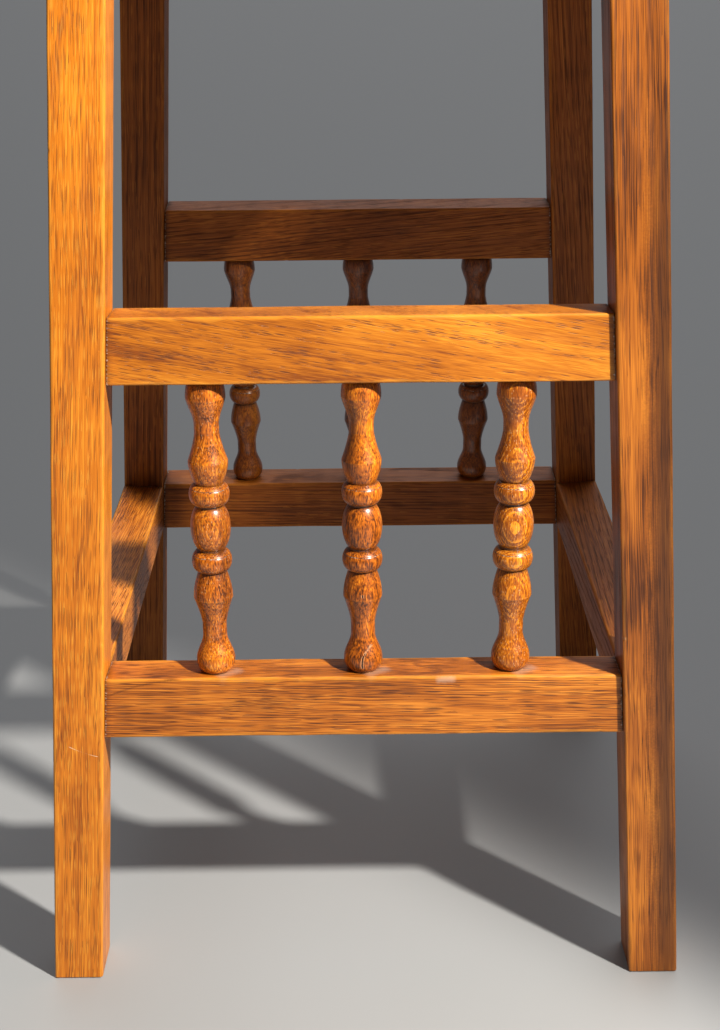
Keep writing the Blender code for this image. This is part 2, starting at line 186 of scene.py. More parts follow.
class Bench:
    """A node tree being wired: places nodes, sets their sockets and joins them."""

    def __init__(self, tree: bpy.types.NodeTree) -> None:
        """Starts on a node tree."""
        self.tree = tree

    def place(self, kind: str, **settings: object) -> bpy.types.Node:
        """Adds a node.

        Args:
            kind: Blender's name for the node.
            settings: The node's own properties.

        Returns:
            The new node.
        """
        node = self.tree.nodes.new(kind)
        for name, value in settings.items():
            setattr(node, name, value)
        return node

    def feed(self, socket: bpy.types.NodeSocket, value: object) -> None:
        """Joins a socket to another, or sets its value."""
        if isinstance(value, bpy.types.NodeSocket):
            self.tree.links.new(value, socket)
        else:
            socket.default_value = value

    def fed(self, node: bpy.types.Node, *values: object) -> bpy.types.Node:
        """Feeds a node's inputs in their order."""
        for socket, value in zip(node.inputs, values):
            self.feed(socket, value)
        return node

    def maths(self, operation: str, *values: object, clamp: bool = False) -> bpy.types.NodeSocket:
        """One sum on single values.

        Args:
            operation: The Math node's operation.
            values: Its inputs, as sockets or numbers.
            clamp: Whether the answer is kept from 0 to 1.

        Returns:
            The answer.
        """
        node = self.place("ShaderNodeMath", operation=operation, use_clamp=clamp)
        return self.fed(node, *values).outputs[0]

    def times(self, first: object, second: object) -> bpy.types.NodeSocket:
        """The product of two values."""
        return self.maths("MULTIPLY", first, second)

    def centred(self, value: object) -> bpy.types.NodeSocket:
        """How far a value from 0 to 1 lies above the middle."""
        return self.maths("SUBTRACT", value, 0.5)

    def vectors(self, operation: str, *values: object) -> bpy.types.NodeSocket:
        """One sum on vectors that gives a vector."""
        return self.fed(self.place("ShaderNodeVectorMath", operation=operation), *values).outputs[0]

    def measure(self, operation: str, *values: object) -> bpy.types.NodeSocket:
        """One sum on vectors that gives a single value."""
        return self.fed(self.place("ShaderNodeVectorMath", operation=operation), *values).outputs["Value"]

    def combine(self, x: object = 0.0, y: object = 0.0, z: object = 0.0) -> bpy.types.NodeSocket:
        """A vector from three values."""
        return self.fed(self.place("ShaderNodeCombineXYZ"), x, y, z).outputs[0]

    def noise(self, vector: object, detail: float = 2.0, rough: float = 0.5) -> bpy.types.Node:
        """A cloudy pattern on a vector that is already to scale."""
        node = self.place("ShaderNodeTexNoise")
        self.feed(node.inputs["Vector"], vector)
        self.feed(node.inputs["Scale"], 1.0)
        self.feed(node.inputs["Detail"], detail)
        self.feed(node.inputs["Roughness"], rough)
        return node

    def clouds(self, vector: object, scale: Point, detail: float = 2.0) -> bpy.types.NodeSocket:
        """A cloudy value, at so many turns to the metre each way."""
        return self.noise(self.vectors("MULTIPLY", vector, scale), detail=detail).outputs[0]

    def ease(self, value: object, start: object, finish: object) -> bpy.types.NodeSocket:
        """Runs smoothly from 0 at the start to 1 at the finish."""
        node = self.place("ShaderNodeMapRange", interpolation_type="SMOOTHSTEP")
        self.feed(node.inputs["Value"], value)
        self.feed(node.inputs["From Min"], start)
        self.feed(node.inputs["From Max"], finish)
        return node.outputs["Result"]

    def tint(self, share: object, first: object, second: object) -> bpy.types.NodeSocket:
        """A colour between two, by a share from 0 to 1."""
        node = self.place("ShaderNodeMix", data_type="RGBA")
        for name, value in (("Factor_Float", share), ("A_Color", first), ("B_Color", second)):
            socket = next(item for item in node.inputs if item.identifier == name)
            self.feed(socket, value)
        return next(item for item in node.outputs if item.identifier == "Result_Color")

    def group(self, tree: bpy.types.NodeTree, **values: object) -> bpy.types.Node:
        """Places a node group.

        Args:
            tree: The group.
            values: Its inputs by name, with _ for a space.

        Returns:
            The group's node.
        """
        node = self.place("ShaderNodeGroup", node_tree=tree)
        for name, value in values.items():
            self.feed(node.inputs[name.replace("_", " ")], value)
        return node


class Kind(Enum):
    """The kinds of socket that the node groups have."""

    VALUE = "NodeSocketFloat"
    VECTOR = "NodeSocketVector"
    COLOUR = "NodeSocketColor"


def new_group(name: str, inputs: dict[str, Kind], outputs: dict[str, Kind]) -> tuple[Bench, dict, dict]:
    """Starts a shader node group.

    Args:
        name: The group's name.
        inputs: Its inputs' names and kinds.
        outputs: Its outputs' names and kinds.

    Returns:
        A bench on the group, its inputs by name and its output sockets by name.
    """
    tree = bpy.data.node_groups.new(name, "ShaderNodeTree")
    for in_out, sockets in (("INPUT", inputs), ("OUTPUT", outputs)):
        for label, kind in sockets.items():
            tree.interface.new_socket(name=label, in_out=in_out, socket_type=kind.value)
    bench = Bench(tree)
    entry = bench.place("NodeGroupInput")
    leave = bench.place("NodeGroupOutput")
    given = {label: entry.outputs[label] for label in inputs}
    out = {label: leave.inputs[label] for label in outputs}
    return bench, given, out


def new_material(name: str) -> tuple[bpy.types.Material, Bench, bpy.types.Node]:
    """Starts a material.

    Args:
        name: The material's name.

    Returns:
        The material, a bench on its nodes and its shader.
    """
    material = bpy.data.materials.new(name)
    material.use_nodes = True
    return material, Bench(material.node_tree), material.node_tree.nodes["Principled BSDF"]


class OakGroups:
    """The node groups that every oak finish shares, each built once.

    Scales are in turns to the metre along, across and up the log. A ramp runs from 0 at its first value to 1
    at its second. The values are named as a finish names them.
    """

    MASKS = ("Bands", "Pores", "Rays", "Streaks", "Cloud", "Fibre")
    DEPTHS = ("Band Depth", "Pore Depth", "Ray Depth", "Streak Depth", "Cloud Depth", "Fibre Depth")
    SPANS = ("Pore Length", "Pore Width", "Ray Length", "Ray Width", "Fibre Length", "Fibre Width")
    SHARES = ("Pore Share", "Pore Spread", "Ray Share", "Streak Share")
    FIGURE_VALUES = ("Year", "Wander", *SPANS, *SHARES)

    DASH_RAMP = (0.58, 0.26)
    DRIFT_SCALE = (5, 18, 18)
    YEAR_SCALE = 90
    YEAR_DRIFT = 2.5
    EARLY_RISE = (0.0, 0.08)
    EARLY_FALL = (0.55, 0.10)
    BREAK_SCALE = (16, 70, 70)
    BREAK_RAMP = (0.30, 0.62)
    CLUMP_SCALE = (22, 120, 120)
    CLUMP_RAMP = (0.25, 0.65)
    RAY_BREADTH = 1.5
    STREAK_SCALE = (8, 260, 260)
    STREAK_RAMP = (0.034, 0.004)
    PATCH_SCALE = (24, 60, 60)
    PATCH_LEVEL = 0.78
    PATCH_GAIN = 0.5
    PATCH_SOFTNESS = 0.16
    CLOUD_SCALE = (9, 40, 40)
    FIBRE_ROUGHNESS = 0.55

    MARK_SCALE = (900, 900, 900)
    MARK_ARCH = 4.0
    MARK_TAPER = (0.0, 0.35)
    SOFT_TAPER = (0.0, 0.8)
    MARK_CORE = 0.4
    LIP_REACH = 2.0

    DARK_RAMP = (0.0, 0.55)
    LIGHT_RAMP = (0.45, 1.0)
    FIBRE_RISE = 0.35
    RAY_RISE = 0.15
    BAND_SINK = 0.25
    PORE_DRYNESS = 0.8

    RUB_SCALE = (60, 260, 260)
    RUB_BREAK = 1.6
    RUB_RAMP = (0.45, 1.15)
    NICK_BREAK = 0.6
    NICK_RAMP = (0.55, 0.85)
    GRIME_SHARE = 0.75
    POLISH_SCALE = (120, 900, 900)
    POLISH_BREAK = 1.6
    POLISH_RAMP = (0.75, 1.1)
    SMEAR_SCALE = (14, 45, 45)
    SMEAR_ROUGHNESS = 0.18
    DRY_ROUGHNESS = 0.16
    BARE_ROUGHNESS = 0.35

    def __init__(self) -> None:
        """Builds the groups."""
        self.figure = self.build_figure()
        self.stain = self.build_stain()
        self.handling = self.build_handling()
        self.line_mark = self.build_line_mark()

    def dashes(self, bench: Bench, vector: object, cell: object, chance: object) -> bpy.types.NodeSocket:
        """Short dashes along the grain.

        Args:
            bench: Where the nodes go.
            vector: The place in the log.
            cell: The length, breadth and width of the room that each dash has.
            chance: How many of the rooms have a dash, from 0 to 1.

        Returns:
            A mask.
        """
        rooms = bench.place("ShaderNodeTexVoronoi")
        bench.feed(rooms.inputs["Vector"], bench.vectors("DIVIDE", vector, cell))
        bench.feed(rooms.inputs["Scale"], 1.0)
        lot = bench.place("ShaderNodeSeparateColor")
        bench.feed(lot.inputs[0], rooms.outputs["Color"])
        chosen = bench.maths("LESS_THAN", lot.outputs[0], chance)
        return bench.times(chosen, bench.ease(rooms.outputs["Distance"], *self.DASH_RAMP))

    def build_figure(self) -> bpy.types.NodeTree:
        """Oak's own marks in the log: yearly bands, pores, rays, dark streaks, clouds and fibres."""
        inputs = {"Log": Kind.VECTOR} | dict.fromkeys(self.FIGURE_VALUES, Kind.VALUE)
        bench, given, out = new_group("Oak figure", inputs, dict.fromkeys(self.MASKS, Kind.VALUE))
        log = given["Log"]
        drift = bench.noise(bench.vectors("MULTIPLY", log, self.DRIFT_SCALE), detail=3).outputs["Color"]
        sway = bench.vectors("SUBTRACT", drift, (0.5, 0.5, 0.5))
        sideways = bench.combine(y=given["Wander"], z=given["Wander"])
        bent = bench.vectors("ADD", log, bench.vectors("MULTIPLY", sway, sideways))

        parts = bench.place("ShaderNodeSeparateXYZ")
        bench.feed(parts.inputs[0], bent)
        radius = bench.measure("LENGTH", bench.combine(y=parts.outputs["Y"], z=parts.outputs["Z"]))
        outward = bench.combine(x=bench.times(radius, self.YEAR_SCALE))
        uneven = bench.times(bench.noise(outward, detail=1).outputs[0], self.YEAR_DRIFT)
        years = bench.maths("ADD", bench.maths("DIVIDE", radius, given["Year"]), uneven)
        season = bench.maths("FRACT", years)
        early = bench.times(bench.ease(season, *self.EARLY_RISE), bench.ease(season, *self.EARLY_FALL))
        broken = bench.ease(bench.clouds(log, self.BREAK_SCALE), *self.BREAK_RAMP)
        bench.feed(out["Bands"], bench.times(early, broken))

        clump = bench.ease(bench.clouds(log, self.CLUMP_SCALE), *self.CLUMP_RAMP)
        elsewhere = bench.maths("SUBTRACT", 1.0, given["Pore Spread"])
        crowd = bench.times(bench.maths("MULTIPLY_ADD", early, elsewhere, given["Pore Spread"]), clump)
        pore_room = bench.combine(given["Pore Length"], given["Pore Width"], given["Pore Width"])
        chance = bench.times(crowd, given["Pore Share"])
        bench.feed(out["Pores"], self.dashes(bench, bent, pore_room, chance))
        ray_breadth = bench.times(given["Ray Width"], self.RAY_BREADTH)
        ray_room = bench.combine(given["Ray Length"], ray_breadth, given["Ray Width"])
        bench.feed(out["Rays"], self.dashes(bench, bent, ray_room, given["Ray Share"]))

        off_line = bench.maths("ABSOLUTE", bench.centred(bench.clouds(bent, self.STREAK_SCALE)))
        gain = bench.times(given["Streak Share"], self.PATCH_GAIN)
        least = bench.maths("SUBTRACT", self.PATCH_LEVEL, gain)
        most = bench.maths("ADD", least, self.PATCH_SOFTNESS)
        dense = bench.ease(bench.clouds(log, self.PATCH_SCALE), least, most)
        bench.feed(out["Streaks"], bench.times(bench.ease(off_line, *self.STREAK_RAMP), dense))
        bench.feed(out["Cloud"], bench.clouds(log, self.CLOUD_SCALE, detail=3))
        fibre_room = bench.combine(given["Fibre Length"], given["Fibre Width"], given["Fibre Width"])
        fibres = bench.noise(bench.vectors("DIVIDE", bent, fibre_room), rough=self.FIBRE_ROUGHNESS)
        bench.feed(out["Fibre"], fibres.outputs[0])
        return bench.tree

    def build_line_mark(self) -> bpy.types.NodeTree:
        """A bowed line between two places on a piece, thin at its ends: crisp, as its lips, or as a cloud."""
        inputs = dict.fromkeys(("Place", "Start", "Finish", "Bow"), Kind.VECTOR) | {"Width": Kind.VALUE}
        outputs = dict.fromkeys(("Line", "Lip", "Soft"), Kind.VALUE)
        bench, given, out = new_group("Line mark", inputs, outputs)
        run = bench.vectors("SUBTRACT", given["Finish"], given["Start"])
        passed = bench.vectors("SUBTRACT", given["Place"], given["Start"])
        covered = bench.measure("DOT_PRODUCT", passed, run)
        share = bench.maths("DIVIDE", covered, bench.measure("DOT_PRODUCT", run, run), clamp=True)
        arch = bench.times(bench.times(share, self.MARK_ARCH), bench.maths("SUBTRACT", 1.0, share))
        bowed = bench.vectors("MULTIPLY", given["Bow"], arch)
        near = bench.vectors("ADD", bench.vectors("MULTIPLY", run, share), bowed)
        off = bench.measure("LENGTH", bench.vectors("SUBTRACT", passed, near))
        rough = bench.clouds(given["Place"], self.MARK_SCALE)
        width = bench.times(given["Width"], bench.ease(arch, *self.MARK_TAPER))
        width = bench.times(width, bench.maths("ADD", rough, 0.5))
        line = bench.ease(off, width, bench.times(width, self.MARK_CORE))
        beside = bench.ease(off, bench.times(width, self.LIP_REACH), width)
        cloud = bench.ease(off, width, 0.0)
        bench.feed(out["Line"], line)
        bench.feed(out["Soft"], bench.times(cloud, bench.ease(arch, *self.SOFT_TAPER)))
        bench.feed(out["Lip"], bench.times(beside, bench.maths("SUBTRACT", 1.0, line)))
        return bench.tree

    def build_stain(self) -> bpy.types.NodeTree:
        """The stain: how deep it went into each mark, as colour, height and dryness."""
        colours = ("Light", "Middle", "Dark", "Pore Colour", "Ray Colour")
        inputs = dict.fromkeys(self.MASKS + self.DEPTHS, Kind.VALUE) | dict.fromkeys(colours, Kind.COLOUR)
        outputs = {"Colour": Kind.COLOUR, "Height": Kind.VALUE, "Dryness": Kind.VALUE}
        bench, given, out = new_group("Oak stain", inputs, outputs)

        def swing(mask: str) -> bpy.types.NodeSocket:
            """A mask that swings about its middle, by its depth."""
            doubled = bench.times(bench.centred(given[mask]), 2.0)
            return bench.times(doubled, given[mask + " Depth"])

        swings = bench.maths("ADD", swing("Cloud"), swing("Fibre"))
        taken = bench.times(given["Bands"], given["Band Depth"])
        taken = bench.maths("MULTIPLY_ADD", given["Streaks"], given["Streak Depth"], taken)
        tone = bench.maths("SUBTRACT", bench.maths("ADD", swings, 0.5), taken, clamp=True)
        colour = bench.tint(bench.ease(tone, *self.DARK_RAMP), given["Dark"], given["Middle"])
        colour = bench.tint(bench.ease(tone, *self.LIGHT_RAMP), colour, given["Light"])
        for mask, mark in (("Rays", "Ray"), ("Pores", "Pore")):
            share = bench.times(given[mask], given[mark + " Depth"])
            colour = bench.tint(share, colour, given[mark + " Colour"])
        bench.feed(out["Colour"], colour)

        rays = bench.times(given["Rays"], self.RAY_RISE)
        raised = bench.maths("MULTIPLY_ADD", given["Fibre"], self.FIBRE_RISE, rays)
        sunk = bench.maths("MULTIPLY_ADD", given["Bands"], self.BAND_SINK, given["Pores"])
        dryness = bench.maths("MULTIPLY_ADD", given["Pores"], self.PORE_DRYNESS, given["Bands"])
        bench.feed(out["Height"], bench.maths("SUBTRACT", raised, sunk))
        bench.feed(out["Dryness"], dryness)
        return bench.tree

    def build_handling(self) -> bpy.types.NodeTree:
        """Years of use: rubbed arrises, bare nicks, dark joints, hollows darkened by dirt and painted shade,
        and pale polish left in the joints.
        """
        values = ("Edge", "Bare", "Joint", "Hollow", "Wear", "Residue", "Roughness", "Dryness")
        colours = ("Colour", "Worn Colour", "Bare Colour", "Grime Colour", "Residue Colour")
        inputs = {"Grain": Kind.VECTOR}
        inputs |= dict.fromkeys(values, Kind.VALUE) | dict.fromkeys(colours, Kind.COLOUR)
        outputs = {"Colour": Kind.COLOUR, "Roughness": Kind.VALUE}
        bench, given, out = new_group("Handling", inputs, outputs)

        def broken(mask: str, ragged: object, amount: float, ramp: tuple) -> bpy.types.NodeSocket:
            """A painted mask with a ragged rim."""
            return bench.ease(bench.maths("MULTIPLY_ADD", ragged, amount, given[mask]), *ramp)

        loose = bench.centred(bench.clouds(given["Grain"], self.RUB_SCALE, detail=3))
        rubbed = bench.times(broken("Edge", loose, self.RUB_BREAK, self.RUB_RAMP), given["Wear"])
        colour = bench.tint(rubbed, given["Colour"], given["Worn Colour"])
        nicked = broken("Bare", loose, self.NICK_BREAK, self.NICK_RAMP)
        colour = bench.tint(nicked, colour, given["Bare Colour"])
        # Dark joints, and hollows darkened by dirt and by painted shade in the recesses.
        shaded = bench.times(bench.maths("MAXIMUM", given["Hollow"], given["Joint"]), self.GRIME_SHARE)
        colour = bench.tint(shaded, colour, given["Grime Colour"])
        bite = bench.centred(bench.clouds(given["Grain"], self.POLISH_SCALE))
        left = bench.times(broken("Joint", bite, self.POLISH_BREAK, self.POLISH_RAMP), given["Residue"])
        colour = bench.tint(left, colour, given["Residue Colour"])
        bench.feed(out["Colour"], colour)

        smear = bench.centred(bench.clouds(given["Grain"], self.SMEAR_SCALE))
        rough = bench.maths("MULTIPLY_ADD", smear, self.SMEAR_ROUGHNESS, given["Roughness"])
        rough = bench.maths("MULTIPLY_ADD", given["Dryness"], self.DRY_ROUGHNESS, rough)
        laid_bare = bench.maths("MAXIMUM", nicked, left)
        rough = bench.maths("MULTIPLY_ADD", laid_bare, self.BARE_ROUGHNESS, rough, clamp=True)
        bench.feed(out["Roughness"], rough)
        return bench.tree


# Finishes

@dataclass(frozen=True)
class Sawing:
    """How a piece was sawn from its log: where the pith lies and how the grain runs out of the piece.

    Angles are in degrees. Radial turns the log about the piece's length, and run-out leans the yearly bands
    along it. The seed picks the place in the log.
    """

    seed: int
    pith: float = 0.090
    radial: float = 0.0
    run_out: float = 0.0

    SEED_STRIDE = 0.731

    def mapping(self, bench: Bench, vector: bpy.types.NodeSocket) -> bpy.types.NodeSocket:
        """The piece's own coordinates turned into the log's."""
        node = bench.place("ShaderNodeMapping", vector_type="POINT")
        bench.feed(node.inputs["Vector"], vector)
        bench.feed(node.inputs["Rotation"], Euler((math.radians(self.radial), 0, math.radians(self.run_out))))
        bench.feed(node.inputs["Location"], (self.seed * self.SEED_STRIDE, self.pith, 0.0))
        return node.outputs[0]


class MarkKind(Enum):
    """A pale scratch, a dark split with pale lips, a dark smudge, which also serves as painted shade, or a
    smear of polish.

    Each has its colour, its mask and its height.
    """

    SCRATCH = ("bare", "Line", -0.5)
    SPLIT = ("grime", "Line", -3.0)
    # A soft dark smudge; also laid as painted shade.
    SMUDGE = ("pore", "Soft", 0.0)
    SMEAR = ("residue", "Soft", 0.0)


@dataclass(frozen=True)
class LineMark:
    """A mark on one piece, in its own coordinates: a bowed line with its half width and its strength."""

    kind: MarkKind
    start: Point
    finish: Point
    bow: Point
    width: float
    strength: float = 1.0


@dataclass(frozen=True)
class OakFinish:
    """Stained and varnished oak: its colours, the strength of its marks and its gloss."""

    light: Colour = (0.84, 0.322, 0.024)
    middle: Colour = (0.58, 0.166, 0.008)
    dark: Colour = (0.27, 0.062, 0.004)
    pore: Colour = (0.085, 0.020, 0.003)
    ray: Colour = (0.80, 0.370, 0.045)
    worn: Colour = (0.76, 0.300, 0.028)
    bare: Colour = (0.72, 0.54, 0.36)
    # The dark of joints, splits and hollows: dirt, and painted shade in the spindles' recesses.
    grime: Colour = (0.030, 0.009, 0.003)
    residue: Colour = (0.62, 0.52, 0.42)
    year: float = 0.0030
    wander: float = 0.006
    pore_length: float = 0.022
    pore_width: float = 0.00045
    pore_share: float = 0.80
    pore_spread: float = 0.60
    ray_length: float = 0.010
    ray_width: float = 0.0008
    ray_share: float = 0.30
    fibre_length: float = 0.090
    fibre_width: float = 0.0007
    streak_share: float = 0.0
    band_depth: float = 0.15
    pore_depth: float = 0.60
    ray_depth: float = 0.35
    streak_depth: float = 0.0
    cloud_depth: float = 0.40
    fibre_depth: float = 0.65
    wear: float = 0.45
    left_polish: float = 0.8
    roughness: float = 0.40
    gloss: float = 0.35
    coat: float = 0.12
    coat_roughness: float = 0.22
    relief: float = 0.00007
    marks: tuple[LineMark, ...] = ()

    LIP_SHARE = 0.4
    PLANK_STRIDE = 3.7
    PLANK_LIFT = 0.013

    def material(self, name: str, sawing: Sawing, groups: OakGroups) -> bpy.types.Material:
        """Makes this finish for one piece.

        Args:
            name: The material's name.
            sawing: How the piece was sawn.
            groups: The shared node groups.

        Returns:
            The material.
        """
        material, bench, shader = new_material(name)
        place = bench.place("ShaderNodeAttribute", attribute_name=GRAIN).outputs["Vector"]
        log = sawing.mapping(bench, self.plank_shift(bench, place))
        figure = bench.group(groups.figure, Log=log, **self.values(groups.FIGURE_VALUES))
        stain = bench.group(
            groups.stain,
            Light=(*self.light, 1),
            Middle=(*self.middle, 1),
            Dark=(*self.dark, 1),
            Pore_Colour=(*self.pore, 1),
            Ray_Colour=(*self.ray, 1),
            **self.values(groups.DEPTHS),
            **{socket.name: socket for socket in figure.outputs},
        )
        kinds = (Paint.EDGE, Paint.BARE, Paint.JOINT, Paint.HOLLOW)
        painted = {paint.value.title(): self.read(bench, paint) for paint in kinds}
        used = bench.group(
            groups.handling,
            Grain=log,
            Colour=stain.outputs["Colour"],
            Dryness=stain.outputs["Dryness"],
            Wear=self.wear,
            Residue=self.left_polish,
            Roughness=self.roughness,
            Worn_Colour=(*self.worn, 1),
            Bare_Colour=(*self.bare, 1),
            Grime_Colour=(*self.grime, 1),
            Residue_Colour=(*self.residue, 1),
            **painted,
        )
        colour, height = self.marked(bench, place, groups, used.outputs["Colour"], stain.outputs["Height"])
        bump = bench.place("ShaderNodeBump")
        bench.feed(bump.inputs["Distance"], self.relief)
        bench.feed(bump.inputs["Height"], height)
        bench.feed(shader.inputs["Base Color"], colour)
        bench.feed(shader.inputs["Roughness"], used.outputs["Roughness"])
        bench.feed(shader.inputs["Normal"], bump.outputs[0])
        bench.feed(shader.inputs["Specular IOR Level"], self.gloss)
        bench.feed(shader.inputs["Coat Weight"], self.coat)
        bench.feed(shader.inputs["Coat Roughness"], self.coat_roughness)
        return material

    def values(self, names: tuple[str, ...]) -> dict[str, float]:
        """The finish's own values, by the names of a group's inputs."""
        return {name: getattr(self, name.lower().replace(" ", "_")) for name in names}

    def marked(
        self, bench: Bench, place: bpy.types.NodeSocket, groups: OakGroups, colour: object, height: object
    ) -> tuple[object, object]:
        """Adds the piece's own scratches, splits, smudges and smears, and its painted shade.

        Args:
            bench: Where the nodes go.
            place: The place on the piece.
            groups: The shared node groups.
            colour: The colour without the marks.
            height: The height without the marks.

        Returns:
            The colour and height with the marks.
        """
        for mark in self.marks:
            line = bench.group(
                groups.line_mark,
                Place=place,
                Start=mark.start,
                Finish=mark.finish,
                Bow=mark.bow,
                Width=mark.width,
            )
            if mark.kind is MarkKind.SPLIT:
                lips = bench.times(line.outputs["Lip"], self.LIP_SHARE)
                colour = bench.tint(lips, colour, (*self.ray, 1))
            cover, mask, depth = mark.kind.value
            share = bench.times(line.outputs[mask], mark.strength)
            colour = bench.tint(share, colour, (*getattr(self, cover), 1))
            height = bench.maths("MULTIPLY_ADD", line.outputs[mask], depth, height)
        return colour, height

    @staticmethod
    def read(bench: Bench, paint: Paint) -> bpy.types.NodeSocket:
        """A value that was painted on the mesh."""
        return bench.place("ShaderNodeAttribute", attribute_name=paint.value).outputs["Fac"]

    def plank_shift(self, bench: Bench, vector: bpy.types.NodeSocket) -> bpy.types.NodeSocket:
        """Moves each plank of a jointed board to its own place in the log."""
        plank = self.read(bench, Paint.PLANK)
        along, up = bench.times(plank, self.PLANK_STRIDE), bench.times(plank, self.PLANK_LIFT)
        return bench.vectors("ADD", vector, bench.combine(x=along, z=up))


HONEY = OakFinish()
TOP_HONEY = replace(HONEY, gloss=0.25, coat=0.0, roughness=0.50)
RAIL_HONEY = replace(
    HONEY, light=(0.72, 0.285, 0.023), middle=(0.48, 0.142, 0.007), dark=(0.21, 0.048, 0.003), year=0.0075,
    pore_length=0.0080, pore_width=0.0005, pore_share=0.85, pore_spread=0.15, pore_depth=0.80, ray_share=0.0,
    band_depth=0.20, cloud_depth=0.65, fibre_length=0.018, fibre_width=0.0006, fibre_depth=0.55,
)
STRAIGHT_BROWN = replace(
    HONEY, light=(0.72, 0.255, 0.028), middle=(0.44, 0.118, 0.008), dark=(0.11, 0.025, 0.003), year=0.0016,
    pore_length=0.014, pore_width=0.0004, pore_share=0.85, pore_spread=0.50, pore_depth=1.0, ray_share=0.0,
    band_depth=0.20, cloud_depth=0.55, fibre_length=0.040, fibre_width=0.0005, fibre_depth=1.0,
)
STREAKED_BROWN = replace(
    HONEY, light=(0.62, 0.200, 0.018), middle=(0.35, 0.094, 0.008), dark=(0.075, 0.018, 0.003),
    pore=(0.035, 0.011, 0.004), year=0.0040, pore_length=0.020, pore_width=0.0004, pore_share=0.55,
    fibre_length=0.060, fibre_width=0.0006, fibre_depth=0.7, ray_share=0.0, streak_share=0.45,
    streak_depth=0.35, cloud_depth=0.9, wear=0.15,
)
# A darker copy for the rear legs and rails and the right stretcher: darker oak, and partly painted shade for
# pieces that stand in shade.
BROWN_AND_PAINTED_SHADE = replace(
    HONEY, light=(0.50, 0.155, 0.016), middle=(0.30, 0.078, 0.007), dark=(0.105, 0.026, 0.003),
    ray=(0.55, 0.185, 0.020), worn=(0.55, 0.185, 0.020), pore=(0.045, 0.012, 0.003), ray_share=0.15,
    band_depth=0.30, gloss=0.22, coat=0.04, roughness=0.48,
)
TURNED = replace(
    HONEY, light=(0.90, 0.315, 0.018), middle=(0.46, 0.110, 0.006), dark=(0.085, 0.018, 0.002),
    ray=(0.78, 0.440, 0.230), pore=(0.040, 0.011, 0.004), year=0.0028, pore_length=0.0024, pore_width=0.0005,
    pore_share=0.75, pore_depth=0.65, ray_length=0.0014, ray_width=0.0005, ray_share=0.0, ray_depth=0.45,
    fibre_length=0.0045, fibre_width=0.0008, cloud_depth=0.7, fibre_depth=0.80, roughness=0.45, gloss=0.08,
    coat=1.0, coat_roughness=0.28, relief=0.00008, wear=0.12,
)
TURNED_EYE = replace(
    TURNED, middle=(0.30, 0.069, 0.004), year=0.0014, wander=0.002, band_depth=-0.32, pore_share=0.55,
    ray_share=0.12, fibre_depth=0.55, cloud_depth=0.4,
)
# Painted shade: the turned finish darkened for the rear spindles.
TURNED_IN_PAINTED_SHADE = replace(
    TURNED, light=(0.46, 0.145, 0.012), middle=(0.24, 0.058, 0.005), dark=(0.075, 0.017, 0.003),
)
PLAIN = replace(
    HONEY, light=(0.62, 0.43, 0.24), middle=(0.50, 0.32, 0.16), dark=(0.33, 0.19, 0.085),
    pore=(0.16, 0.085, 0.035), ray=(0.66, 0.47, 0.27), worn=(0.62, 0.44, 0.25), coat=0.0, roughness=0.65,
    wear=0.4,
)


# Meshes

@dataclass(frozen=True)
class SawCut:
    """A flat saw cut: a point on it and its normal."""

    point: Vector
    normal: Vector

    def placed(self, matrix: Matrix) -> "SawCut":
        """The cut after this turn and shift."""
        return SawCut(matrix @ self.point, matrix.to_3x3() @ self.normal)

    def reach(self, across: np.ndarray, up: np.ndarray) -> np.ndarray:
        """How far along X each line at (across, up) meets the cut."""
        normal = self.normal
        return (normal.dot(self.point) - normal.y * across - normal.z * up) / normal.x


def wandering(places: np.ndarray, spacing: float, seed: int) -> np.ndarray:
    """A smooth random line from -1 to 1.

    Args:
        places: Where it is read.
        spacing: The distance between its turns.
        seed: Which line it is.

    Returns:
        Its value at each place.
    """
    draws = np.random.default_rng(seed)
    count = int((places.max() - places.min()) / spacing) + 3
    knots = draws.uniform(-1, 1, count)
    steps = (places - places.min()) / spacing
    first = np.floor(steps).astype(int)
    share = (1 - np.cos((steps - first) * math.pi)) / 2
    return knots[first] * (1 - share) + knots[first + 1] * share


def put_in_scene(name: str, data: bpy.types.ID) -> bpy.types.Object:
    """A new object in the scene."""
    item = bpy.data.objects.new(name, data)
    bpy.context.scene.collection.objects.link(item)
    return item


def mesh_from(shape: bmesh.types.BMesh, name: str) -> bpy.types.Mesh:
    """A mesh from a shape, which is used up."""
    mesh = bpy.data.meshes.new(name)
    shape.to_mesh(mesh)
    shape.free()
    return mesh


def smooth(mesh: bpy.types.Mesh, crease: float) -> None:
    """Shades a mesh smooth but for the corners that turn by more than the crease."""
    mesh.shade_smooth()
    mesh.set_sharp_from_angle(angle=crease)


def skin_mesh(name: str, rings: np.ndarray, paint: dict[Paint, np.ndarray]) -> bpy.types.Mesh:
    """A closed skin through rings of points, capped at both ends.

    Args:
        name: The mesh's name.
        rings: Points by ring, by place round the ring, each ring turning from Y to Z as X grows.
        paint: Values for each point.

    Returns:
        The mesh, smooth but for its sharp corners.
    """
    count, around, _ = rings.shape
    index = np.arange(count * around).reshape(count, around)
    after = np.roll(index, -1, axis=1)
    quads = np.stack([index[:-1], after[:-1], after[1:], index[1:]], axis=-1).reshape(-1, 4)
    caps = [index[0][::-1].tolist(), index[-1].tolist()]
    mesh = bpy.data.meshes.new(name)
    mesh.from_pydata(rings.reshape(-1, 3).tolist(), [], quads.tolist() + caps)
    for kind, values in paint.items():
        layer = mesh.attributes.new(kind.value, "FLOAT", "POINT")
        layer.data.foreach_set("value", values.ravel().astype(np.float32))
    smooth(mesh, SKIN_CREASE)
    lay_flat(mesh, rings)
    return mesh


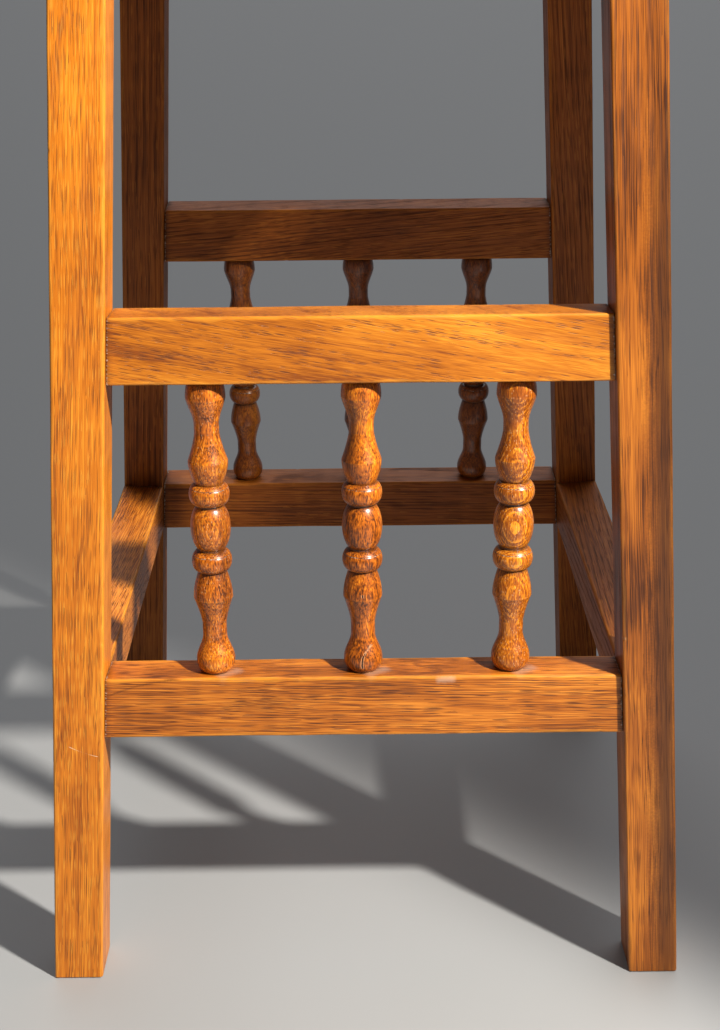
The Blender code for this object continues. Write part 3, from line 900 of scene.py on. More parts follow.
def lay_flat(mesh: bpy.types.Mesh, rings: np.ndarray) -> None:
    """Unrolls a skin into a few equal lengths side by side, with its two caps beside them.

    Args:
        mesh: The skin's mesh, with its quads ring by ring and then its two caps.
        rings: The skin's points.
    """
    around = rings.shape[1]
    steps = np.linalg.norm(np.diff(rings, axis=0), axis=2).mean(axis=1)
    along = np.concatenate([[0.0], np.cumsum(steps)])
    widest = max(rings, key=lambda ring: np.linalg.norm(np.ptp(ring, axis=0)))
    girth = np.concatenate([[0.0], np.cumsum(np.linalg.norm(np.roll(widest, -1, axis=0) - widest, axis=1))])
    lanes = max(1, round(math.sqrt(along[-1] / girth[-1])))
    lane_length = along[-1] / lanes
    lane = np.minimum((along[:-1] + steps / 2) // lane_length, lanes - 1)
    foot = np.repeat((lane * (girth[-1] + LAYOUT_MARGIN))[:, None], around, axis=1)
    first = np.repeat((along[:-1] - lane * lane_length)[:, None], around, axis=1)
    last = first + steps[:, None]
    low, high = foot + girth[:-1], foot + girth[1:]
    quads = np.stack([first, low, first, high, last, high, last, low], axis=-1).reshape(-1, 2)
    quads -= quads.min(axis=0)
    spread = quads.max(axis=0) + LAYOUT_MARGIN
    beside = np.array([spread[0], 0.0]) if spread[0] < spread[1] else np.array([0.0, spread[1]])
    flats = [quads]
    for ring in (rings[0][::-1], rings[-1]):
        cap = ring[:, 1:] - ring[:, 1:].min(axis=0)
        flats.append(cap + beside)
        beside = beside + np.where(beside > 0, 0.0, cap.max(axis=0) + LAYOUT_MARGIN)
    places = np.concatenate(flats)
    layer = mesh.uv_layers.new(name=FLAT_LAYOUT)
    layer.uv.foreach_set("vector", (places / places.max()).ravel().astype(np.float32))


def settle(mesh: bpy.types.Mesh, place: Matrix) -> None:
    """Keeps each point's place along the grain, then moves the mesh to its place on the stand."""
    points = np.empty(len(mesh.vertices) * 3, dtype=np.float32)
    mesh.vertices.foreach_get("co", points)
    mesh.attributes.new(GRAIN, "FLOAT_VECTOR", "POINT").data.foreach_set("vector", points)
    mesh.transform(place)


def cut_away(mesh: bpy.types.Mesh, cutter: bpy.types.Mesh) -> bpy.types.Mesh:
    """Cuts one shape out of another.

    Args:
        mesh: The shape that is cut, which is used up.
        cutter: The shape that is taken away, which is used up.

    Returns:
        The new mesh.
    """
    blank = put_in_scene("blank", mesh)
    tool = put_in_scene("tool", cutter)
    cut = blank.modifiers.new("cut", "BOOLEAN")
    cut.object = tool
    cut.operation = "DIFFERENCE"
    cut.solver = "EXACT"
    name = mesh.name
    result = bpy.data.meshes.new_from_object(blank.evaluated_get(bpy.context.evaluated_depsgraph_get()))
    for item in (blank, tool):
        bpy.data.objects.remove(item)
    bpy.data.meshes.remove(mesh)
    bpy.data.meshes.remove(cutter)
    result.name = name
    return result


def spun_mesh(name: str, outline: list[tuple[float, float]], around: int) -> bpy.types.Mesh:
    """A closed turning about X from (radius, distance along X) pairs."""
    turns = np.linspace(0, 2 * math.pi, around, endpoint=False)
    radius = np.array([point[0] for point in outline])[:, None]
    along = np.repeat(np.array([point[1] for point in outline])[:, None], around, axis=1)
    return skin_mesh(name, np.stack([along, radius * np.cos(turns), radius * np.sin(turns)], axis=-1), {})


def frame_along(origin: Vector, along: Vector, up: Vector) -> Matrix:
    """A piece's frame: X along its grain, Z up its section."""
    across = up.cross(along)
    turn = Matrix((along, across, up)).transposed()
    return Matrix.Translation(origin) @ turn.to_4x4()


@dataclass
class Piece:
    """One dressed piece of the stand and the node that it stands for, if any."""

    node: str
    mesh: bpy.types.Mesh
    place: Matrix
    material: bpy.types.Material
    slot: Slot
    added: bool = False

    def set_down(self) -> None:
        """Puts the piece on the stand."""
        item = put_in_scene(self.node if self.added else self.node + "_dressed", self.mesh)
        settle(self.mesh, self.place)
        self.mesh.materials.append(self.material)
        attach(item, BODY)
        if not self.added:
            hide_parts(self.node)
        LOG.info("%s: %d faces", item.name, len(self.mesh.polygons))


@dataclass(frozen=True)
class Wear:
    """How a bar's arrises have worn."""

    radius: float = 0.0013
    wander: float = 0.30
    turn: float = 0.028
    nick_every: float = 0.30
    nick_length: float = 0.0018
    nick_radius: float = 0.0016


@dataclass(frozen=True)
class Nick:
    """A nick in one of a bar's four arrises, counted from the one at +Y and +Z towards -Y."""

    arris: int
    place: float
    length: float
    size: float


@dataclass
class Bar:
    """A planed bar with worn arrises, along X, sawn to a cut at each end."""

    name: str
    width: float
    height: float
    start: SawCut
    finish: SawCut
    seed: int
    wear: Wear = field(default_factory=Wear)
    top_slope: float = 0.0
    jointed: bool = True
    spacing: float = 0.004
    end_ease: float = 0.0004
    placed_nicks: tuple[Nick, ...] = ()

    ARRISES = len(CORNERS)
    ARC_STEPS = 5
    MARGINS = (0.0010, 0.0030, 0.0070)
    MARGIN_EDGE = (0.50, 0.12, 0.0)
    END_STEPS = (0.0010, 0.0022, 0.0045, 0.0090)
    CLOSEST_STEP = 0.9
    NICK_STEPS = (-1.0, -0.5, 0.0, 0.5, 1.0)
    NICK_MARGIN = 0.01
    NICK_SIZES = (0.3, 0.8)
    NICK_FALL = 2
    SEED_STRIDE = 7
    JOINT_REACH = 0.0045

    def length(self) -> float:
        """The bar's length on its axis."""
        zero = np.zeros(1)
        return float((self.finish.reach(zero, zero) - self.start.reach(zero, zero))[0])

    def nicks(self) -> list[Nick]:
        """The bar's nicks: a few by chance, and those that were placed."""
        draws = np.random.default_rng(self.seed)
        total = self.length()
        found = list(self.placed_nicks)
        for arris in range(self.ARRISES):
            for _ in range(max(1, int(total / self.wear.nick_every))):
                place = draws.uniform(self.NICK_MARGIN, total - self.NICK_MARGIN)
                size = draws.uniform(*self.NICK_SIZES) ** 2
                found.append(Nick(arris, place, self.wear.nick_length, size))
        return found

    def stations(self, nicks: list[Nick]) -> np.ndarray:
        """Where along the bar, in metres from its start, it has a ring of points."""
        total = self.length()
        even = np.linspace(0, total, max(2, int(total / self.spacing)))
        ends = np.array((self.end_ease, *self.END_STEPS))
        about = np.array([nick.place + step * nick.length for nick in nicks for step in self.NICK_STEPS])
        places = np.sort(np.concatenate([even, ends, total - ends, about]))
        places = places[(places >= 0) & (places <= total)]
        apart = self.end_ease * self.CLOSEST_STEP
        kept = [0.0]
        for place in places:
            if place - kept[-1] > apart and (total - place > apart or place == total):
                kept.append(float(place))
        return np.array(kept)

    def mesh(self) -> bpy.types.Mesh:
        """Builds the bar.

        Returns:
            Its mesh, painted with worn edges, bare nicks and joint ends.
        """
        total = self.length()
        nicks = self.nicks()
        stations = self.stations(nicks)
        radii, bared = [], []
        for arris in range(self.ARRISES):
            drift = wandering(stations, self.wear.turn, self.seed * self.SEED_STRIDE + arris)
            bare = np.zeros_like(stations)
            for nick in nicks:
                if nick.arris == arris:
                    off = (stations - nick.place) / nick.length
                    bare = np.maximum(bare, nick.size * np.exp(-(off ** 2) * self.NICK_FALL))
            radii.append(self.wear.radius * (1 + self.wear.wander * drift) + self.wear.nick_radius * bare)
            bared.append(bare)
        rings, edge, bare_paint, joint = [], [], [], []
        for row, station in enumerate(stations):
            near = min(station, total - station)
            ease = max(0.0, self.end_ease - near)
            radii_here, bared_here = [line[row] for line in radii], [line[row] for line in bared]
            across, up, worn, bare = self.section(radii_here, bared_here, ease)
            share = station / total
            along = self.start.reach(across, up) * (1 - share) + self.finish.reach(across, up) * share
            rings.append(np.stack([along, across, up], axis=-1))
            edge.append(worn)
            bare_paint.append(bare)
            seam = max(0.0, 1 - near / self.JOINT_REACH) ** 2 if self.jointed else 0.0
            joint.append(np.full_like(worn, seam))
        paint = {Paint.EDGE: np.array(edge), Paint.BARE: np.array(bare_paint), Paint.JOINT: np.array(joint)}
        return skin_mesh(self.name, np.array(rings), paint)

    def section(self, radii: list[float], bared: list[float], ease: float) -> tuple[np.ndarray, ...]:
        """One ring of the bar.

        Args:
            radii: The four arrises' radii.
            bared: How bare each arris is.
            ease: How far the ring is drawn in, at a bar's end.

        Returns:
            Each point's place across and up, its edge wear and its bareness.
        """
        half_width, half_height = self.width / 2 - ease, self.height / 2 - ease
        across, up, worn, bare = [], [], [], []
        for corner, (sign_y, sign_z) in enumerate(CORNERS):
            radius = radii[corner]
            centre_y, centre_z = sign_y * (half_width - radius), sign_z * (half_height - radius)
            for step in range(self.ARC_STEPS + 1):
                turn = (corner + step / self.ARC_STEPS) * QUARTER
                across.append(centre_y + radius * math.cos(turn))
                up.append(centre_z + radius * math.sin(turn))
                worn.append(1.0)
                bare.append(bared[corner])
            following = (corner + 1) % self.ARRISES
            next_y, next_z = CORNERS[following]
            first = Vector((across[-1], up[-1]))
            turn = following * QUARTER
            last = Vector((
                next_y * (half_width - radii[following]) + radii[following] * math.cos(turn),
                next_z * (half_height - radii[following]) + radii[following] * math.sin(turn),
            ))
            run = (last - first).length
            places = [*self.MARGINS, run / 2, *[run - margin for margin in reversed(self.MARGINS)]]
            values = [*self.MARGIN_EDGE, 0.0, *reversed(self.MARGIN_EDGE)]
            for place, value in zip(places, values):
                point = first.lerp(last, place / run)
                across.append(point.x)
                up.append(point.y)
                worn.append(value)
                bare.append(0.0)
        across_line, up_line = np.array(across), np.array(up)
        up_line = np.where(up_line > 0, up_line + self.top_slope * across_line, up_line)
        return across_line, up_line, np.array(worn), np.array(bare)


class Curve:
    """The turner's curves, each from 0 at the start to 1 at the finish."""

    @staticmethod
    def ess(share: float) -> float:
        """Level at both ends."""
        return (1 - math.cos(math.pi * share)) / 2

    @staticmethod
    def hollow(share: float) -> float:
        """Level at the start, steepest at the finish."""
        return 1 - math.cos(QUARTER * share)

    @staticmethod
    def flare(share: float) -> float:
        """Steep at the start, level at the finish."""
        return (Curve.ess(share) + math.sin(QUARTER * share)) / 2

    @staticmethod
    def spread(share: float) -> float:
        """Widens slowly at the start and more at the finish."""
        return (share + Curve.hollow(share)) / 2


@dataclass(frozen=True)
class SpindleEnd:
    """What a spindle's head and foot don't share: seat, lengths, cove and the wear of the bulb's arris."""

    seat_diameter: float
    rise: float
    neck: float
    shoulder: float
    cove: Ramp
    arris: float


HEAD = SpindleEnd(
    seat_diameter=0.0176, rise=0.0101, neck=0.0050, shoulder=0.0134, cove=Curve.flare, arris=0.7
)
FOOT = SpindleEnd(
    seat_diameter=0.0150, rise=0.0072, neck=0.0074, shoulder=0.0165, cove=Curve.ess, arris=0.0
)


@dataclass(frozen=True)
class SpindleProfile:
    """A turned spindle's half outline: lengths along it, diameters, and how finely it is cut."""

    cove: float = 0.0158
    vase: float = 0.0163
    ring: float = 0.0128
    fillet: float = 0.001
    barrel: float = 0.0258
    bulb_diameter: float = 0.0229
    neck_diameter: float = 0.0143
    ridge_diameter: float = 0.0230
    groove_diameter: float = 0.0165
    ring_diameter: float = 0.0235
    fillet_diameter: float = 0.0156
    barrel_diameter: float = 0.0234
    barrel_slimness: float = 1.5
    step: float = 0.0011
    incised_above: float = 0.0038
    incised_width: float = 0.0008
    incised_depth: float = 0.00008
    incised_polish: float = 0.95

    LEAST_STEPS = 10
    RIDGE_FALL = 16
    SHOULDER_FALL = 14
    SEAT_GRIME = 6
    GROOVE_GRIME = 8
    RING_GRIME = 10
    INCISED_STEPS = (-1.0, -0.5, 0.0, 0.5, 1.0)

    def half(self, end: SpindleEnd) -> np.ndarray:
        """The outline of a head or a foot.

        Args:
            end: What is its own.

        Returns:
            Radius, distance from the rail, edge wear, hollow dirt and painted shade, and polish, up to the
            barrel's middle.
        """
        points: list[tuple[float, float, float, float, float]] = []
        station = 0.0

        def nothing(share: float) -> float:
            """Nothing painted."""
            return 0.0

        def run(length: float, diameter: Ramp, edge: Ramp = nothing, hollow: Ramp = nothing) -> None:
            """One stretch of the outline, with its diameter, wear, and dirt and painted shade by share of its
            length.
            """
            nonlocal station
            steps = max(self.LEAST_STEPS, int(length / self.step))
            for place in range(steps + 1):
                share = (1 - math.cos(math.pi * place / steps)) / 2
                radius, along = diameter(share) / 2, station + length * share
                points.append((radius, along, edge(share), hollow(share), 0.0))
            station += length

        def swell(base: float, crown: float, finish: float, slimness: float = 1.0) -> Ramp:
            """An ellipse on its base, up to a share of its length."""
            def diameter(share: float) -> float:
                off_middle = 2 * finish * share - 1
                return base + (crown - base) * max(0.0, 1 - off_middle ** 2) ** (slimness / 2)
            return diameter

        def draw(first: float, last: float, curve: Ramp) -> Ramp:
            """From one diameter to another along a curve."""
            return lambda share: first + (last - first) * curve(share)

        # The hollow values darken the seats, the groove and the ring's edges: dirt, and painted shade in the
        # recesses.
        run(
            end.rise, swell(end.seat_diameter, self.bulb_diameter, 0.5),
            lambda share: end.arris * share ** self.RIDGE_FALL, lambda share: (1 - share) ** self.SEAT_GRIME,
        )
        run(
            self.cove, draw(self.bulb_diameter, self.neck_diameter, end.cove),
            lambda share: end.arris * (1 - share) ** self.RIDGE_FALL,
        )
        run(end.neck, draw(self.neck_diameter, self.neck_diameter, end.cove))
        run(
            self.vase, draw(self.neck_diameter, self.ridge_diameter, Curve.spread),
            lambda share: share ** self.RIDGE_FALL,
        )
        run(
            end.shoulder, draw(self.ridge_diameter, self.groove_diameter, Curve.hollow),
            lambda share: (1 - share) ** self.SHOULDER_FALL, lambda share: share ** self.GROOVE_GRIME,
        )
        run(
            self.ring, swell(self.fillet_diameter, self.ring_diameter, 1.0),
            hollow=lambda share: abs(2 * share - 1) ** self.RING_GRIME,
        )
        station += self.fillet
        run(
            self.barrel / 2, swell(self.fillet_diameter, self.barrel_diameter, 0.5, self.barrel_slimness),
            hollow=lambda share: (1 - share) ** self.RING_GRIME,
        )
        return np.array(points)

    def outline(self) -> np.ndarray:
        """The whole outline about the barrel's middle, from the lower seat to the upper one."""
        lower = self.half(FOOT)
        lower[:, 1] -= lower[:, 1].max()
        upper = self.half(HEAD)[::-1][1:]
        upper[:, 1] = self.half(HEAD)[:, 1].max() - upper[:, 1]
        outline = np.concatenate([lower, upper])
        ring_middle = self.barrel / 2 + self.fillet + self.ring / 2
        for middle in (-ring_middle, ring_middle):
            line = middle + self.incised_above
            for share in self.INCISED_STEPS:
                height = line + share * self.incised_width / 2
                place = int(np.searchsorted(outline[:, 1], height))
                radius = np.interp(height, outline[:, 1], outline[:, 0])
                depth = self.incised_depth * (1 - abs(share))
                polish = self.incised_polish * (1 - abs(share))
                outline = np.insert(outline, place, (radius - depth, height, 0.0, 0.0, polish), axis=0)
        return outline


@dataclass
class Spindle:
    """A turned spindle along X, with a little of the lathe's unevenness."""

    name: str
    seed: int
    profile: SpindleProfile = field(default_factory=SpindleProfile)
    around: int = 56
    uneven: float = 0.00008
    turn: float = 0.015

    def mesh(self) -> bpy.types.Mesh:
        """Builds the spindle.

        Returns:
            Its mesh, painted with worn ridges, hollows darkened by dirt and painted shade, and the polish left
            in its incised lines.
        """
        outline = self.profile.outline()
        turns = np.linspace(0, 2 * math.pi, self.around, endpoint=False)
        uneven = self.uneven * wandering(outline[:, 1], self.turn, self.seed)
        radius = outline[:, 0] + np.minimum(uneven, 0)
        along = np.repeat(outline[:, 1][:, None], self.around, axis=1)
        across = radius[:, None] * np.cos(turns)[None, :]
        up = radius[:, None] * np.sin(turns)[None, :]
        kinds = enumerate((Paint.EDGE, Paint.HOLLOW, Paint.JOINT), start=2)
        paint = {kind: np.repeat(outline[:, column][:, None], self.around, axis=1) for column, kind in kinds}
        return skin_mesh(self.name, np.stack([along, across, up], axis=-1), paint)


# Sub-assemblies

PLACED_NICKS = {
    "leg_front_right": (Nick(arris=2, place=0.229, length=0.0016, size=1.0),),
}


@dataclass(frozen=True)
class Dresser:
    """Gives the wooden pieces their finishes."""

    groups: OakGroups
    finishes: dict[str, tuple[OakFinish, Sawing]]

    def seed(self, node: str) -> int:
        """The number that a piece's chances are drawn by."""
        return self.finishes[node][1].seed

    def dress(self, node: str, mesh: bpy.types.Mesh, place: Matrix, slot: Slot) -> Piece:
        """Gives a piece its own finish.

        Args:
            node: The node that the piece stands for.
            mesh: Its mesh, along X.
            place: Its place on the stand.
            slot: Its material slot.

        Returns:
            The piece.
        """
        finish, sawing = self.finishes[node]
        return Piece(node, mesh, place, finish.material(node + "_oak", sawing, self.groups), slot)


def gallery_frame(end: End) -> Matrix:
    """The leaning frame of the front or the back."""
    foot = Matrix.Translation(ALONG_Y * (end.value * SIZES.floor_spread_y / 2))
    return foot @ Matrix.Rotation(end.value * SIZES.splay_y, 4, "X")


@dataclass
class Gallery:
    """The front or the back: two legs, two rails, three spindles and an apron."""

    end: End

    @staticmethod
    def leg_frame(side: Side) -> Matrix:
        """A leg's frame in its gallery: X up the leg, Y to the right, Z to the back."""
        lean = side.value * SIZES.splay_x
        foot = ALONG_X * (side.value * SIZES.floor_spread_x / 2)
        return frame_along(foot, Vector((-math.sin(lean), 0, math.cos(lean))), ALONG_Y)

    def rail_cuts(self, place: Matrix) -> list[SawCut]:
        """The two legs' inner faces, less the gap, seen from a bar's place in the gallery."""
        cuts = []
        for side in Side:
            leg = self.leg_frame(side)
            outward = leg.to_3x3() @ (ALONG_Y * side.value)
            inner = SawCut(leg.translation - outward * (SIZES.leg_width / 2 + SIZES.gap), outward)
            cuts.append(inner.placed(place.inverted()))
        return cuts

    def build(self, dresser: Dresser) -> list[Piece]:
        """Builds and dresses the gallery.

        Args:
            dresser: What gives the pieces their finishes.

        Returns:
            Its pieces.
        """
        pieces = []
        gallery = gallery_frame(self.end)
        for side in Side:
            node = f"leg_{self.end.label}_{side.label}"
            place = gallery @ self.leg_frame(side)
            floor = SawCut(Vector(), UP).placed(place.inverted())
            planed = SawCut(UP * SIZES.frame_top, UP).placed(place.inverted())
            leg = Bar(
                node, SIZES.leg_width, SIZES.leg_depth, floor, planed, seed=dresser.seed(node), jointed=False,
                end_ease=SIZES.foot_ease, placed_nicks=PLACED_NICKS.get(node, ()),
            )
            pieces.append(dresser.dress(node, leg.mesh(), place, Slot.STAINED))
        for label, middle in (("lower", SIZES.lower_rail_middle), ("upper", SIZES.upper_rail_middle)):
            node = f"{self.end.label}_{label}_rail"
            place = frame_along(ALONG_Y * SIZES.rail_back + UP * middle, ALONG_X, UP)
            start, finish = self.rail_cuts(place)
            rail = Bar(node, SIZES.rail_thickness, SIZES.rail_height, start, finish, seed=dresser.seed(node))
            pieces.append(dresser.dress(node, rail.mesh(), gallery @ place, Slot.STAINED))
        for step, label in enumerate(("left", "center", "right"), start=-1):
            node = f"{self.end.label}_spindle_{label}"
            spot = Vector((step * SIZES.spindle_pitch, SIZES.rail_back, SIZES.barrel_middle))
            place = frame_along(spot, UP, ALONG_Y)
            spindle = Spindle(node, dresser.seed(node))
            pieces.append(dresser.dress(node, spindle.mesh(), gallery @ place, Slot.TURNED))
        node = f"{self.end.label}_apron"
        offset = self.end.value * (SIZES.leg_depth / 2 - SIZES.apron_setback - SIZES.apron_thickness / 2)
        middle = (SIZES.frame_top - SIZES.apron_height / 2) / math.cos(SIZES.splay_y)
        place = frame_along(ALONG_Y * offset + UP * middle, ALONG_X, UP)
        start, finish = self.rail_cuts(place)
        apron = Bar(
            node, SIZES.apron_thickness, SIZES.apron_height, start, finish, seed=dresser.seed(node),
            top_slope=-self.end.value * math.tan(SIZES.splay_y),
        )
        pieces.append(dresser.dress(node, apron.mesh(), gallery @ place, Slot.STAINED))
        return pieces


@dataclass
class Flank:
    """One side: a low stretcher and an apron between the front and rear legs."""

    side: Side

    @property
    def matrix(self) -> Matrix:
        """The side's leaning frame."""
        side = self.side.value
        foot = Matrix.Translation(ALONG_X * (side * SIZES.floor_spread_x / 2))
        return foot @ Matrix.Rotation(-side * SIZES.splay_x, 4, "Y")

    def cuts(self, place: Matrix) -> list[SawCut]:
        """The front and rear legs' facing faces, less the gap, seen from a bar's place on the stand."""
        cuts = []
        for end in End:
            inner = SawCut(ALONG_Y * (-end.value * (SIZES.leg_depth / 2 + SIZES.gap)), ALONG_Y * end.value)
            cuts.append(inner.placed(gallery_frame(end)).placed(place.inverted()))
        return cuts

    def build(self, dresser: Dresser) -> list[Piece]:
        """Builds and dresses the side.

        Args:
            dresser: What gives the pieces their finishes.

        Returns:
            Its pieces.
        """
        pieces = []
        level = SIZES.lower_rail_middle * math.cos(SIZES.splay_y) / math.cos(SIZES.splay_x)
        offset = self.side.value * (SIZES.leg_width / 2 - SIZES.apron_setback - SIZES.apron_thickness / 2)
        apron_level = (SIZES.frame_top - SIZES.apron_height / 2) / math.cos(SIZES.splay_x)
        slope = self.side.value * math.tan(SIZES.splay_x)
        bars = (
            (f"{self.side.label}_stretcher", SIZES.leg_width, SIZES.rail_height, UP * level, 0.0),
            (f"{self.side.label}_apron", SIZES.apron_thickness, SIZES.apron_height,
             ALONG_X * offset + UP * apron_level, slope),
        )
        for node, width, height, middle, top_slope in bars:
            place = self.matrix @ frame_along(middle, ALONG_Y, UP)
            start, finish = self.cuts(place)
            bar = Bar(node, width, height, start, finish, seed=dresser.seed(node), top_slope=top_slope)
            pieces.append(dresser.dress(node, bar.mesh(), place, Slot.STAINED))
        return pieces


@dataclass
class FootPolish:
    """Old polish that dried pale in the angle round the spindles' feet."""

    end: End
    colour: Colour = (0.66, 0.52, 0.37)
    roughness: float = 0.6
    thickness: float = 0.00060
    heaviest: float = math.radians(50)
    evenness: float = 0.65
    heaviness: float = 0.35
    ragged: float = 0.75
    turn: float = 0.06
    around: int = 72
    sides: int = 8

    SAWING_SEED = 50
    RING_SEED = 60
    END_STRIDE = 5

    def build(self, groups: OakGroups) -> Piece:
        """Builds the three broken rings on a gallery's lower rail.

        Args:
            groups: The shared node groups.

        Returns:
            One piece.
        """
        foot = SIZES.lower_rail_middle + SIZES.rail_height / 2 + SIZES.gap / 2
        turns = np.linspace(0, 2 * math.pi, self.around, endpoint=False)
        rounds = np.linspace(0, 2 * math.pi, self.sides, endpoint=False)
        shares = np.linspace(0, 1, self.around)
        points, faces = [], []
        for step in (-1, 0, 1):
            base = len(points)
            seed = self.RING_SEED + step + self.END_STRIDE * self.end.value
            swell = 1 + self.ragged * wandering(shares, self.turn, seed)
            swell *= self.evenness + self.heaviness * np.cos(turns - self.heaviest)
            for turn, size in zip(turns, swell):
                for angle in rounds:
                    reach = FOOT.seat_diameter / 2 + self.thickness * size * math.cos(angle)
                    points.append((
                        step * SIZES.spindle_pitch + reach * math.sin(turn),
                        SIZES.rail_back - reach * math.cos(turn),
                        foot + self.thickness * size * math.sin(angle),
                    ))
            for ring in range(self.around):
                for side in range(self.sides):
                    after, beside = (ring + 1) % self.around, (side + 1) % self.sides
                    faces.append([
                        base + ring * self.sides + side, base + after * self.sides + side,
                        base + after * self.sides + beside, base + ring * self.sides + beside,
                    ])
        name = f"{self.end.label}_foot_polish"
        mesh = bpy.data.meshes.new(name)
        mesh.from_pydata(points, [], faces)
        mesh.shade_smooth()
        finish = replace(PLAIN, light=self.colour, roughness=self.roughness)
        material = finish.material(name, Sawing(self.SAWING_SEED + self.end.value), groups)
        return Piece(name, mesh, gallery_frame(self.end), material, Slot.TURNED, added=True)


@dataclass
class TopBoard:
    """The top: three planks side by side, with a lip, a quarter-round moulding and a fillet."""

    corner: float = 0.014
    least_corner: float = 0.001
    lip: float = 0.009
    ovolo: float = 0.008
    fillet: float = 0.0015
    under_round: float = 0.002
    ease: float = 0.0005
    inner_margin: float = 0.004
    corner_steps: int = 10
    curve_steps: int = 8
    planks: int = 3

    ARC_INSET = 0.3
    UNDER_WEAR = 0.4
    FACE_WEAR = 0.6
    ARRIS_WEAR = 1.0
    STEP_WEAR = 0.5
    RIM_WEAR = 0.8

    def edge(self) -> list[tuple[float, float, float]]:
        """The moulded edge from below: (how far in, height, wear)."""
        points = []
        for step in range(self.curve_steps + 1):
            turn = QUARTER * step / self.curve_steps
            inset = self.under_round * (1 - math.sin(turn))
            points.append((inset, self.under_round * (1 - math.cos(turn)), self.UNDER_WEAR))
        arc = self.ease * self.ARC_INSET
        points.append((0.0, self.lip - self.ease, self.FACE_WEAR))
        points.append((arc, self.lip - arc, self.ARRIS_WEAR))
        for step in range(self.curve_steps + 1):
            turn = QUARTER * step / self.curve_steps
            inset = self.ease + (self.ovolo - self.ease) * (1 - math.cos(turn))
            points.append((inset, self.lip + self.ovolo * math.sin(turn), self.STEP_WEAR * (step == 0)))
        shelf, crown = self.ovolo + self.fillet, self.lip + self.ovolo
        face = crown + self.fillet
        points.append((shelf, crown, 0.0))
        points.append((shelf, face - self.ease, self.FACE_WEAR))
        points.append((shelf + arc, face - arc, self.ARRIS_WEAR))
        points.append((shelf + self.ease, face, self.RIM_WEAR))
        points.append((shelf + self.inner_margin, face, 0.0))
        return points

    def build(self, dresser: Dresser) -> Piece:
        """Builds and dresses the top.

        Args:
            dresser: What gives the piece its finish.

        Returns:
            The piece.
        """
        width = 2 * (SIZES.reach_x(SIZES.top_underside, SIZES.leg_width / 2) + SIZES.top_overhang)
        depth = 2 * (SIZES.reach_y(SIZES.top_underside, SIZES.leg_depth / 2) + SIZES.top_overhang)
        shape = bmesh.new()
        wear = shape.verts.layers.float.new(Paint.EDGE.value)
        plank = shape.faces.layers.float.new(Paint.PLANK.value)
        loops = []
        for inset, height, worn in self.edge():
            loop = []
            radius = max(self.corner - inset, self.least_corner)
            for quarter, (sign_x, sign_y) in enumerate(CORNERS):
                for step in range(self.corner_steps + 1):
                    turn = (quarter + step / self.corner_steps) * QUARTER
                    x = sign_x * (width / 2 - inset - radius) + radius * math.cos(turn)
                    y = sign_y * (depth / 2 - inset - radius) + radius * math.sin(turn)
                    vertex = shape.verts.new((x, y, height))
                    vertex[wear] = worn
                    loop.append(vertex)
            loops.append(loop)
        shape.faces.new(loops[0][::-1])
        shape.faces.new(loops[-1])
        for lower, upper in zip(loops, loops[1:]):
            for first in range(len(lower)):
                after = (first + 1) % len(lower)
                shape.faces.new((lower[first], lower[after], upper[after], upper[first]))
        joints = [depth * (line / self.planks - 0.5) for line in range(1, self.planks)]
        for joint in joints:
            everything = shape.verts[:] + shape.edges[:] + shape.faces[:]
            bmesh.ops.bisect_plane(shape, geom=everything, plane_co=(0, joint, 0), plane_no=(0, 1, 0))
        for face in shape.faces:
            face[plank] = sum(face.calc_center_median().y > joint for joint in joints)
        mesh = mesh_from(shape, "top_board")
        smooth(mesh, TOP_CREASE)
        return dresser.dress("top_board", mesh, Matrix.Translation(UP * SIZES.top_underside), Slot.TOP)


@dataclass(frozen=True)
class ScrewSteel:
    """Plain steel screws, a little dulled, with the lathe's rings on their heads."""

    bright: Colour = (0.60, 0.58, 0.55)
    dulled: Colour = (0.30, 0.27, 0.24)
    roughness: float = 0.55
    polish: float = -0.25
    patch_scale: Point = (700, 700, 700)
    ring_scale: float = 900.0
    ring_depth: float = 0.00005

    def material(self) -> bpy.types.Material:
        """Makes the steel."""
        material, bench, shader = new_material("screw_steel_dulled")
        place = bench.place("ShaderNodeAttribute", attribute_name=GRAIN).outputs["Vector"]
        patch = bench.clouds(place, self.patch_scale, detail=3)
        rings = bench.place("ShaderNodeTexWave", wave_type="RINGS", rings_direction="X")
        bench.feed(rings.inputs["Vector"], place)
        bench.feed(rings.inputs["Scale"], self.ring_scale)
        bench.feed(shader.inputs["Base Color"], bench.tint(patch, (*self.dulled, 1), (*self.bright, 1)))
        rough = bench.maths("MULTIPLY_ADD", patch, self.polish, self.roughness)
        bench.feed(shader.inputs["Roughness"], rough)
        bump = bench.place("ShaderNodeBump")
        bench.feed(bump.inputs["Distance"], self.ring_depth)
        bench.feed(bump.inputs["Height"], rings.outputs["Fac"])
        bench.feed(shader.inputs["Normal"], bump.outputs[0])
        bench.feed(shader.inputs["Metallic"], 1.0)
        return material


